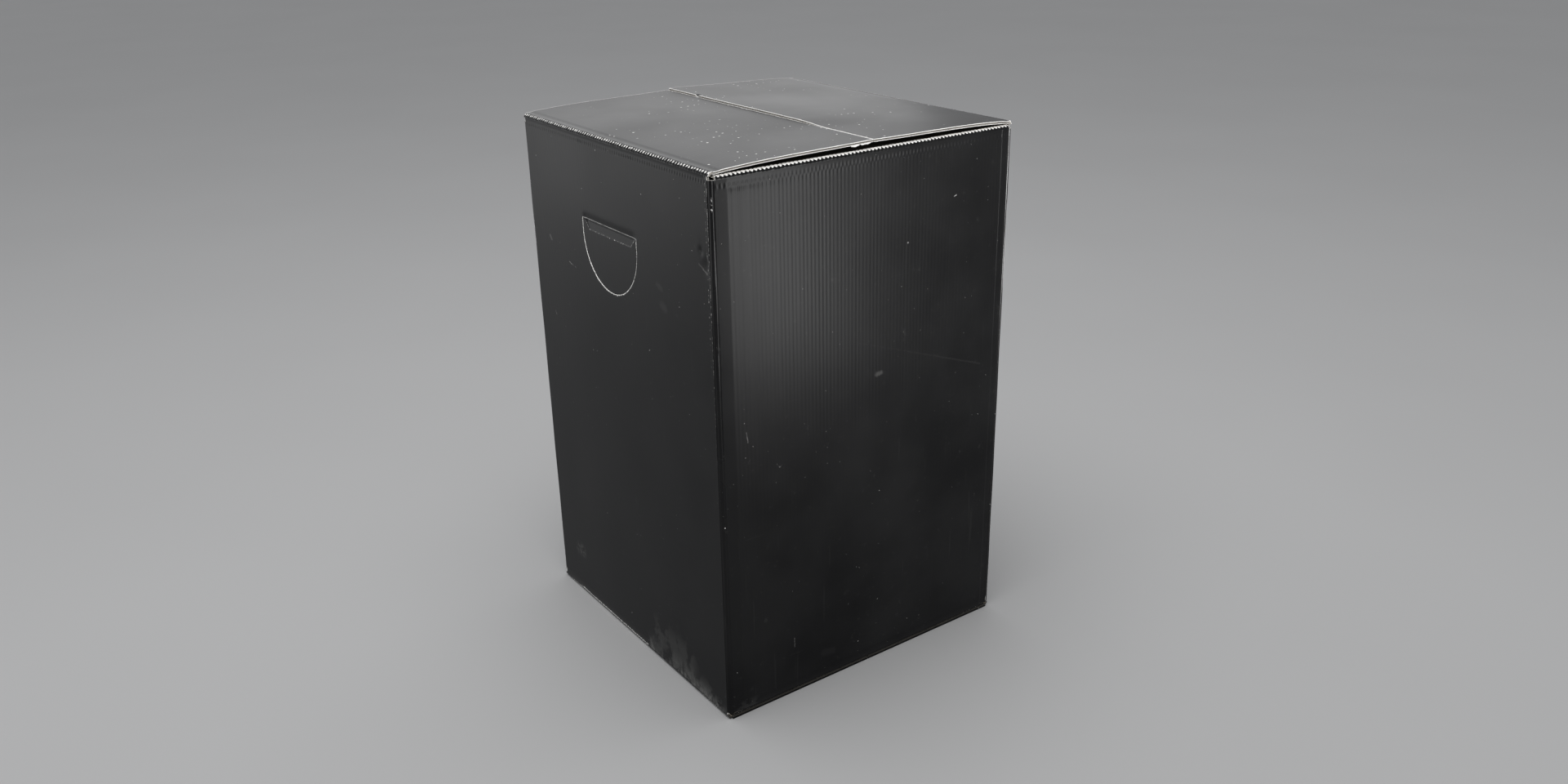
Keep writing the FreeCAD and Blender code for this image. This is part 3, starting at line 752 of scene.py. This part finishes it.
def build_torn_liner(looks):
    """Torn tongues of inner liner that hang from the left flap's front edge."""
    flap = PANELS["left_top_flap"]
    u_edge = flap.u1 if flap.across[1] < 0 else flap.u0
    random = np.random.default_rng(TORN_SEED)
    for name, (start, end), drop in TORN_TONGUES:
        v = spaced(start, end, 0.5)
        ragged = 0.7 + 0.3 * random.uniform(-1, 1, len(v))
        fall = drop * np.sin(math.pi * np.linspace(0.04, 0.96, len(v))) ** 0.5 * ragged
        share = np.linspace(0, 1, 5)
        edge = flap.place(np.full(len(v), u_edge - 0.1), v, BOARD)
        outwards = flap.across * (0.9 * np.sin(math.pi * share) + 0.2)[None, :, None]
        down = fall[:, None, None] * share[None, :, None] * -UP
        front = edge[:, None] + down + outwards
        back = front - flap.across * 0.22
        piece = shell(name, front, back, [looks["cut_edge"]] * 3)
        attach(piece, flap.body)


TORN_SEED = 7
# Name, start and end along the flap from its hinge, and how far it hangs.
TORN_TONGUES = [("torn_liner_tongue_a", (116.0, 123.0), 1.5),
                ("torn_liner_tongue_b", (124.5, 133.0), 1.1)]


# ---------------- materials

class Look:
    """A material and short ways to add nodes to it.  Positions are in millimetres."""

    def __init__(self, name, roughness, specular=0.5):
        self.material = bpy.data.materials.new(name)
        self.material.use_nodes = True
        self.tree = self.material.node_tree
        self.shader = self.tree.nodes["Principled BSDF"]
        self.set("Roughness", roughness)
        self.set("Specular IOR Level", specular)
        place = self.node("ShaderNodeTexCoord").outputs["Object"]
        self.place = self.wobbled = self.vector("SCALE", place, scale=1 / MM)

    def set(self, name, value):
        if isinstance(value, bpy.types.NodeSocket):
            self.tree.links.new(value, self.shader.inputs[name])
        else:
            self.shader.inputs[name].default_value = value

    def node(self, kind, inputs=None, **settings):
        node = self.tree.nodes.new(kind)
        for name, value in settings.items():
            setattr(node, name, value)
        for name, value in (inputs or {}).items():
            if isinstance(value, bpy.types.NodeSocket):
                self.tree.links.new(value, node.inputs[name])
            else:
                node.inputs[name].default_value = value
        return node

    def math(self, operation, a, b=0.0):
        return self.node("ShaderNodeMath", {0: a, 1: b}, operation=operation).outputs[0]

    def times(self, a, b):
        return self.math("MULTIPLY", a, b)

    def plus(self, a, b, share=None):
        """a and b added, or a and a share of b."""
        return self.math("ADD", a, b if share is None else self.times(b, share))

    def most(self, a, b):
        return self.math("MAXIMUM", a, b)

    def vector(self, operation, a, b=(0, 0, 0), scale=1.0):
        node = self.node("ShaderNodeVectorMath", {0: a, 1: b, 3: scale}, operation=operation)
        return node.outputs[1 if operation in ("DOT_PRODUCT", "LENGTH") else 0]

    def ramp(self, value, low, high, start=0.0, end=1.0):
        inputs = {"Value": value, "From Min": low, "From Max": high,
                  "To Min": start, "To Max": end}
        return self.node("ShaderNodeMapRange", inputs, interpolation_type="SMOOTHSTEP").outputs[0]

    def noise(self, size, detail=2.0, stretch=(1, 1, 1), shift=(0, 0, 0), roughness=0.5):
        """Noise with features of about size millimetres."""
        place = self.vector("MULTIPLY", self.vector("ADD", self.place, shift), stretch)
        inputs = {"Vector": place, "Scale": 1 / size, "Detail": detail, "Roughness": roughness}
        return self.node("ShaderNodeTexNoise", inputs).outputs["Fac"]

    def mix(self, factor, a, b):
        node = self.node("ShaderNodeMix", data_type="RGBA")
        for socket, value in zip((node.inputs[0], node.inputs[6], node.inputs[7]), (factor, a, b)):
            if isinstance(value, bpy.types.NodeSocket):
                self.tree.links.new(value, socket)
            else:
                socket.default_value = value
        return node.outputs[2]

    def wear_and_highlights(self):
        return self.node("ShaderNodeAttribute", attribute_name="wear_and_highlights").outputs["Fac"]

    def bump(self, layers):
        """Stack of bump layers, each a height from 0 to 1 and its depth in millimetres."""
        normal = None
        for height, depth in layers:
            inputs = {"Height": height, "Distance": depth * MM, "Strength": 1.0}
            if normal is not None:
                inputs["Normal"] = normal
            normal = self.node("ShaderNodeBump", inputs).outputs["Normal"]
        self.set("Normal", normal)

    def flatten(self, across, along):
        """Positions in the plane of a panel, its u and v as X and Y."""
        u = self.vector("DOT_PRODUCT", self.place, tuple(across))
        v = self.vector("DOT_PRODUCT", self.place, tuple(along))
        return self.node("ShaderNodeCombineXYZ", {0: u, 1: v}).outputs[0]

    def dust(self, flat, cell, share, size, seed):
        """Specks of dust in a plane: a share of the cells holds one, in loose clusters."""
        place = self.vector("ADD", flat, (seed, 2 * seed, 0))
        inputs = {"Vector": place, "Scale": 1 / cell}
        cells = self.node("ShaderNodeTexVoronoi", inputs, voronoi_dimensions="2D")
        spread = self.node("ShaderNodeSeparateColor", {0: cells.outputs["Color"]})
        chosen = self.math("LESS_THAN", spread.outputs[0], share)
        reach = self.times(spread.outputs[1], size / cell)
        speck = self.math("LESS_THAN", cells.outputs["Distance"], reach)
        cluster = self.ramp(self.noise(45, 1.0, shift=(seed, 0, 0)), 0.42, 0.62)
        return self.times(self.times(chosen, speck), cluster)

    def wobble(self, size, amount):
        """Give strokes and windows uneven outlines."""
        inputs = {"Vector": self.place, "Scale": 1 / size, "Detail": 2.0}
        noise = self.node("ShaderNodeTexNoise", inputs).outputs["Color"]
        warp = self.vector("SCALE", self.vector("SUBTRACT", noise, (0.5, 0.5, 0.5)), scale=amount)
        self.wobbled = self.vector("ADD", self.place, warp)

    def stroke(self, start, end, radius, soft):
        """Mask of a short stroke between two points."""
        way = Vector(end) - Vector(start)
        offset = self.vector("SUBTRACT", self.wobbled, tuple(start))
        along = self.vector("DOT_PRODUCT", offset, tuple(way / max(way.length_squared, 1e-6)))
        along = self.node("ShaderNodeClamp", {"Value": along}).outputs[0]
        nearest = self.vector("SCALE", tuple(way), scale=along)
        distance = self.vector("LENGTH", self.vector("SUBTRACT", offset, nearest))
        return self.ramp(distance, radius + soft, max(radius - soft, 0))

    def window(self, axis, low, high, soft):
        """1 where one coordinate lies between two places, 0 outside."""
        value = self.vector("DOT_PRODUCT", self.wobbled, tuple(axis))
        rise = self.ramp(value, low - soft, low + soft)
        return self.times(rise, self.ramp(value, high + soft, high - soft))


def coated_paper(name, panel="front_wall", marked=True, dust=0.04, speck=0.30, roughness=0.33):
    """Black print under a gloss coating, scuffed, dusty and worn at its edges, with painted
    highlights and painted sheen where the mesh and the panel tables put them.
    """
    look = Look(name, roughness, COAT_SPECULAR)
    look.wobble(2.0, 1.6)
    shown = PANELS[panel]
    cloud = look.noise(90, 3.0)
    print_tone = look.mix(look.ramp(cloud, 0.3, 0.7), BLACK_LOW, BLACK_HIGH)
    haze_and_sheen = scuffs(look)
    white = dust_rubbing_and_highlights(look, shown, dust, speck)
    if marked:
        white = with_strokes(look, shown, white)
    matt = look.plus(haze_and_sheen, white)
    if marked:
        haze_and_sheen, matt = with_patches(look, shown, haze_and_sheen, matt)
    # Scuffs, smears and the band of painted sheen lighten the print here.
    tone = look.mix(haze_and_sheen, print_tone, SCUFF_AND_SHEEN_TONE)
    # Dust, rubbed coating and painted highlights turn the print pale here.
    look.set("Base Color", look.mix(white, tone, WORN_AND_HIGHLIGHT_TONE))
    rough = look.ramp(cloud, 0.25, 0.75, roughness - 0.02, roughness + 0.04)
    look.set("Roughness", look.math("MINIMUM", look.plus(rough, matt, 0.5), 0.9))
    look.bump([(look.noise(size, detail), depth) for size, detail, depth in COAT_BUMPS])
    return look.material


def scuffs(look):
    """Light scuffs and hairline scratches all over."""
    scuff = look.ramp(look.noise(7, 6.0, roughness=0.7), 0.60, 0.80)
    hairs = [look.ramp(look.noise(2.2, 1.0, stretch, shift), 0.735, 0.76)
             for stretch, shift in HAIRLINES]
    return look.plus(look.times(scuff, 0.05), look.most(*hairs), 0.010)


def dust_rubbing_and_highlights(look, shown, dust, speck):
    """White of dust specks and of coating rubbed off where the mesh says it is worn, and painted
    highlights where the mesh marks them.
    """
    flat = look.flatten(shown.across, shown.along)
    specks = look.dust(flat, 6.5, dust, speck, 11.0)
    fine = look.times(look.dust(flat, 2.6, 0.3 * dust, 0.22, 37.0), 0.5)
    rub = look.plus(look.wear_and_highlights(), look.noise(1.6, 4.0, roughness=0.65))
    return look.most(look.most(specks, fine), look.ramp(rub, 1.02, 1.25))


def with_strokes(look, shown, white):
    """Add the single scratches of a panel, and a painted highlight on a dent's lip."""
    for start, end, radius, amount in STROKES.get(shown.name, []):
        points = [shown.origin + shown.across * u + shown.along * v for u, v in (start, end)]
        mark = look.stroke(points[0], points[1], radius, 0.6 * radius)
        white = look.most(white, look.times(mark, amount))
    return white


def with_patches(look, shown, haze_and_sheen, matt):
    """Add the peeled and smeared patches of a panel, and any band of painted sheen."""
    for (low, high), (base, top), soft, grain, light, dull in PATCHES.get(shown.name, []):
        across = look.window(shown.across, low, high, soft)
        area = look.times(across, look.window(UP, base, top, soft))
        if grain is not None:
            spots = look.noise(grain, 5.0, (1, 1, 0.6), (low, base, high), 0.55)
            area = look.times(area, look.ramp(spots, 0.46, 0.53))
        haze_and_sheen, matt = look.plus(haze_and_sheen, area, light), look.plus(matt, area, dull)
    return haze_and_sheen, matt


COAT_SPECULAR = 0.22
# Layers of unevenness in the coating: size, detail and depth.
COAT_BUMPS = ((14, 2.0, 0.020), (4.5, 3.0, 0.011), (1.3, 2.0, 0.0055), (0.35, 1.0, 0.0016))
BLACK_LOW = (0.0045, 0.0045, 0.0048, 1)
BLACK_HIGH = (0.0085, 0.0085, 0.0088, 1)
# Tone of scuffs and smears, and of the painted sheen along the left wall's base.
SCUFF_AND_SHEEN_TONE = (0.30, 0.30, 0.29, 1)
# Pale tone of rubbed paper and dust, and of painted highlights.
WORN_AND_HIGHLIGHT_TONE = (0.72, 0.71, 0.69, 1)
# Stretch and shift of the noise that the scratches up and across come from.
HAIRLINES = [((0.9, 0.9, 0.035), (0, 0, 0)), ((0.05, 0.05, 1.1), (40, 10, 5))]

# Strokes on a panel: start and end as (u, v), radius, and how white.
STROKES = {
    "front_wall": [
        ((4.5, 251.0), (9.0, 251.5), 1.7, 0.05), ((-23.6, 322.8), (-23.2, 322.8), 0.4, 0.35),
        ((33.4, 347.5), (33.8, 347.5), 0.4, 0.3), ((78.0, 375.0), (80.0, 376.0), 0.4, 0.35),
        ((-113.4, 235.6), (-112.3, 227.7), 0.3, 0.15), ((-88.0, 204.0), (-85.5, 200.5), 0.3, 0.16),
        ((-85.5, 200.5), (-82.5, 202.5), 0.3, 0.12), ((56.3, 150.5), (56.3, 144.5), 0.3, 0.15),
        ((-74.4, 50.0), (-74.4, 42.0), 0.3, 0.08), ((-46.0, 25.0), (-37.0, 23.5), 3.0, 0.004),
        ((-13.0, 280.0), (112.0, 233.7), 0.6, 0.008),
    ],
    "left_wall": [
        ((-75.3, 315.6), (-63.0, 313.0), 0.35, 0.25),
        ((-106.0, 330.0), (-103.5, 327.5), 1.2, 0.08),
        ((-108.5, 265.5), (-106.5, 262.5), 0.35, 0.22), ((69.0, 316.5), (73.0, 315.0), 3.0, 0.015),
        ((64.0, 331.0), (69.0, 329.0), 2.2, 0.015), ((-42.0, 103.6), (-41.6, 103.6), 0.4, 0.3),
        ((-120.0, 393.0), (-119.6, 393.0), 0.4, 0.3), ((20.0, 240.0), (20.4, 240.0), 0.4, 0.3),
        # These two strokes paint a highlight along the lower lip of the dent by the front corner.
        ((121.1, 359.6), (126.0, 356.8), 0.6, 0.05), ((126.0, 356.8), (130.3, 354.4), 0.6, 0.10),
    ],
    "back_wall": [
        ((40.0, 310.0), (52.0, 306.0), 0.35, 0.25), ((-70.0, 190.0), (-69.5, 181.0), 0.3, 0.25),
        ((85.0, 60.0), (93.0, 64.0), 1.6, 0.04), ((-20.0, 120.0), (-19.6, 120.0), 0.4, 0.3),
    ],
    "right_wall": [
        ((60.0, 280.0), (66.0, 268.0), 0.35, 0.25), ((-90.0, 150.0), (-80.0, 149.0), 0.35, 0.2),
        ((30.0, 70.0), (38.0, 72.0), 2.0, 0.03),
    ],
}
# Peeled and smeared patches, and one band of painted sheen: span of u, span of height,
# softness of their edges, grain, how light and how matt.
PATCHES = {
    "left_wall": [
        ((-107.0, -92.0), (38.0, 48.0), 4.0, 2.2, 0.14, 0.2),
        # An even light band along the base, without grain: painted sheen, lighter toward the
        # bottom edge.
        ((-130.0, 17.0), (-30.0, -1.0), 12.0, None, 0.20, 0.1),
        ((22.0, 130.0), (-20.0, 14.0), 10.0, 16.0, 0.13, 0.2),
        ((22.0, 90.0), (8.0, 36.0), 10.0, 13.0, 0.07, 0.2),
        ((18.0, 27.0), (-10.0, 12.0), 3.0, 6.0, 0.18, 0.2),
        ((60.0, 130.0), (-10.0, 10.0), 5.0, 2.2, 0.14, 0.2),
    ],
    "front_wall": [((-129.0, -110.0), (3.0, 12.0), 2.0, 5.0, 0.02, 0.3)],
    "back_wall": [((50.0, 110.0), (-5.0, 14.0), 10.0, 2.4, 0.05, 0.2)],
    "right_wall": [((-110.0, -60.0), (-5.0, 12.0), 10.0, 2.4, 0.05, 0.2)],
}


def plain_paper(name, tones, grain, roughness=0.86):
    """Uncoated paper: fibres, flecks and cloudy colour."""
    low, high, fleck = tones
    look = Look(name, roughness, 0.3)
    fibres = look.noise(grain, 6.0, (1, 1, 0.35), roughness=0.7)
    across = look.noise(grain * 1.7, 5.0, (0.4, 1, 1), (9, 4, 2), roughness=0.7)
    cloud = look.noise(30, 2.0)
    blend = look.plus(look.plus(look.times(fibres, 0.5), across, 0.3), cloud, 0.2)
    tone = look.mix(look.ramp(blend, 0.38, 0.62), low, high)
    flecks = look.ramp(look.noise(0.55, 2.0, shift=(3, 7, 1)), 0.70, 0.76)
    look.set("Base Color", look.mix(look.times(flecks, 0.5), tone, fleck))
    look.set("Roughness", look.ramp(fibres, 0.3, 0.7, roughness - 0.08, roughness + 0.06))
    look.bump([(fibres, 0.03), (look.noise(0.3, 2.0), 0.012)])
    return look.material


def melted_glue(name):
    """Dried adhesive: slightly clear, with blobs and bubbles."""
    look = Look(name, 0.4)
    blobs = look.noise(3.0, 3.0)
    look.set("Base Color", look.mix(look.ramp(blobs, 0.35, 0.65), GLUE_DARK, GLUE_LIGHT))
    look.set("Subsurface Weight", 0.15)
    look.set("Subsurface Scale", 0.5 * MM)
    look.set("Roughness", look.ramp(blobs, 0.3, 0.7, 0.30, 0.55))
    look.bump([(blobs, 0.12), (look.noise(0.6, 2.0), 0.03)])
    return look.material


GLUE_DARK = (0.62, 0.55, 0.42, 1)
GLUE_LIGHT = (0.78, 0.72, 0.58, 1)
# Low, high and fleck tone of each paper.
KRAFT_TONES = ((0.36, 0.30, 0.23, 1), (0.50, 0.43, 0.34, 1), (0.18, 0.14, 0.10, 1))
FLUTING_TONES = ((0.23, 0.215, 0.195, 1), (0.35, 0.33, 0.30, 1), (0.13, 0.12, 0.105, 1))
EDGE_TONES = ((0.70, 0.69, 0.67, 1), (0.88, 0.875, 0.86, 1), (0.48, 0.465, 0.445, 1))
GRIMY_TONES = ((0.016, 0.015, 0.013, 1), (0.032, 0.029, 0.025, 1), (0.010, 0.009, 0.008, 1))
BACK_TONES = ((0.48, 0.455, 0.42, 1), (0.62, 0.595, 0.56, 1), (0.30, 0.28, 0.25, 1))


def make_looks():
    """Every material, by the name of the panel or the kind of paper it is for."""
    looks = {"coat": coated_paper("coated_black_paper", marked=False)}
    for side in ("front", "back", "left", "right"):
        panel = f"{side}_wall"
        looks[panel] = coated_paper(f"coated_black_paper_{side}", panel)
    for panel, ending, dust in (("left_top_flap", "top", 0.30),
                                ("right_top_flap", "top_right", 0.26)):
        looks[panel] = coated_paper(f"coated_black_paper_{ending}", panel, dust=dust, speck=0.85)
    return looks | {
        "fold_coat": coated_paper("coated_black_paper_fold", marked=False, roughness=0.25),
        "kraft": plain_paper("kraft_inner_paper", KRAFT_TONES, 1.8),
        "liner_back": plain_paper("liner_back_paper", BACK_TONES, 1.5),
        "fluting": plain_paper("fluting_medium_paper", FLUTING_TONES, 1.2),
        "cut_edge": plain_paper("cut_edge_paper", EDGE_TONES, 0.6, 0.9),
        "grimy": plain_paper("grimy_edge_paper", GRIMY_TONES, 1.2, 0.9),
        "adhesive": melted_glue("dried_adhesive"),
    }


# Plies whose cut edges show along the base.
GRIMY_NODES = [f"{side}_bottom_flap_{ply}" for side in ("left", "right")
               for ply in ("fluting", "inner_liner")]


def dress_cad_nodes(looks):
    """Give the CAD nodes that stay in view their procedural materials."""
    kinds = [("_outer_liner", "coat"), ("_inner_liner", "kraft"), ("_fluting", "fluting"),
             ("_glue", "adhesive"), ("_adhesive", "adhesive"), ("_crease", "kraft")]
    for name, node in frame["nodes"].items():
        look = next((look for ending, look in kinds if name.endswith(ending)), "kraft")
        if name in GRIMY_NODES:
            look = "grimy"
        node.data.materials.clear()
        node.data.materials.append(looks[look])


# ---------------- studio

CAMERA_PLACE = Vector((-0.5676, -0.8227, 0.6070))
CAMERA_AZIMUTH = math.radians(-35.44)
CAMERA_ELEVATION = math.radians(22.54)
CAMERA_ROLL = math.radians(-1.0)
CAMERA_LENS = 29.38

# Name, place, the point it faces, width and height in metres, radiance, and
# whether it lights the floor as well as the carton.
SOFTBOXES = [
    ("overhead_softbox", (-0.3, -0.2, 2.2), (0, 0, 0.2), (1.6, 1.6), 2.3, True),
    ("back_softbox", (0.50, 1.95, 1.15), (0, 0, 0.42), (2.55, 1.6), 0.79, False),
    ("low_front_softbox", (0.14, -0.52, 0.29), (0.14, -0.14, 0.29), (0.20, 0.36), 5.8, False),
    ("low_left_softbox", (-0.66, 1.0, 0.24), (-0.14, 1.0, 0.24), (0.9, 0.30), 1.0, False),
    ("right_side_softbox", (1.4, 0.25, 0.12), (0.14, 0.25, 0.12), (1.3, 0.5), 7.0, False),
    ("back_side_softbox", (0.75, 1.5, 0.12), (0.0, 0.14, 0.2), (1.2, 0.5), 6.0, False),
    ("left_side_softbox", (-1.5, 0.45, 0.15), (-0.14, 0.2, 0.2), (0.7, 0.4), 2.5, False),
    ("key_softbox", (-1.1, -1.5, 1.5), (0, 0, 0.3), (0.7, 0.7), 20.0, False),
]


def make_camera():
    data = bpy.data.cameras.new("camera")
    data.lens = CAMERA_LENS
    data.sensor_width = 36.0
    data.clip_start, data.clip_end = 0.01, 50.0
    camera = bpy.data.objects.new("camera", data)
    bpy.context.scene.collection.objects.link(camera)
    level = math.cos(CAMERA_ELEVATION)
    back = Vector((math.sin(CAMERA_AZIMUTH) * level, -math.cos(CAMERA_AZIMUTH) * level,
                   math.sin(CAMERA_ELEVATION)))
    right = Vector(UP).cross(back).normalized()
    up = back.cross(right)
    turned_right = right * math.cos(CAMERA_ROLL) + up * math.sin(CAMERA_ROLL)
    turned_up = up * math.cos(CAMERA_ROLL) - right * math.sin(CAMERA_ROLL)
    turn = Matrix((turned_right, turned_up, back)).transposed()
    camera.matrix_world = Matrix.LocRotScale(CAMERA_PLACE, turn, None)
    bpy.context.scene.camera = camera


def make_lights():
    carton = bpy.data.collections.new("carton")
    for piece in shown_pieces():
        carton.objects.link(piece)
    for name, place, target, (width, height), radiance, on_floor in SOFTBOXES:
        data = bpy.data.lights.new(name, "AREA")
        data.shape = "RECTANGLE"
        data.size, data.size_y = width, height
        data.energy = radiance * math.pi * width * height
        light = bpy.data.objects.new(name, data)
        bpy.context.scene.collection.objects.link(light)
        light.location = place
        light.rotation_euler = (Vector(place) - Vector(target)).to_track_quat("Z", "Y").to_euler()
        light.visible_camera = False
        if not on_floor:
            light.light_linking.receiver_collection = carton


def make_world():
    """Soft light from all round, dimmer at the front and from below the horizon."""
    world = bpy.data.worlds.new("studio")
    world.use_nodes = True
    nodes, links = world.node_tree.nodes, world.node_tree.links
    background = nodes["Background"]
    background.inputs["Color"].default_value = WORLD_TONE
    direction = nodes.new("ShaderNodeTexCoord")
    split = nodes.new("ShaderNodeSeparateXYZ")
    product = nodes.new("ShaderNodeMath")
    product.operation = "MULTIPLY"
    links.new(direction.outputs["Generated"], split.inputs[0])
    gradients = [("Y", -0.8, 0.8, WORLD_FRONT, WORLD_BACK), ("Z", -0.65, -0.15, WORLD_BELOW, 1.0)]
    for place, (axis, start, end, low, high) in enumerate(gradients):
        strength = nodes.new("ShaderNodeMapRange")
        links.new(split.outputs[axis], strength.inputs["Value"])
        values = {"From Min": start, "From Max": end, "To Min": low, "To Max": high}
        for name, value in values.items():
            strength.inputs[name].default_value = value
        links.new(strength.outputs[0], product.inputs[place])
    links.new(product.outputs[0], background.inputs["Strength"])
    bpy.context.scene.world = world
    bpy.context.scene.view_settings.view_transform = "Standard"


WORLD_TONE = (0.97, 0.98, 1.0, 1)
WORLD_FRONT = 0.22
WORLD_BACK = 0.46
WORLD_BELOW = 0.33
FLOOR_SIZE = 16.0
FLOOR_DARK = (0.66, 0.66, 0.66, 1)
FLOOR_LIGHT = (0.70, 0.70, 0.70, 1)


def make_floor():
    """Large pale studio floor just under the carton."""
    mesh = bpy.data.meshes.new("studio_floor")
    half = FLOOR_SIZE / 2
    corners = [(-half, -half, 0), (half, -half, 0), (half, half, 0), (-half, half, 0)]
    mesh.from_pydata(corners, [], [(0, 1, 2, 3)])
    floor = bpy.data.objects.new("studio_floor", mesh)
    bpy.context.scene.collection.objects.link(floor)
    look = Look("pale_floor", 0.75, 0.2)
    look.set("Base Color", look.mix(look.noise(400, 2.0), FLOOR_DARK, FLOOR_LIGHT))
    mesh.materials.append(look.material)
    floor.visible_glossy = False


# ---------------- making

def main():
    looks = make_looks()
    dress_cad_nodes(looks)
    build_panels(looks)
    build_folds(looks)
    build_hand_folds(looks)
    build_torn_liner(looks)
    make_camera()
    make_lights()
    make_world()
    make_floor()


main()
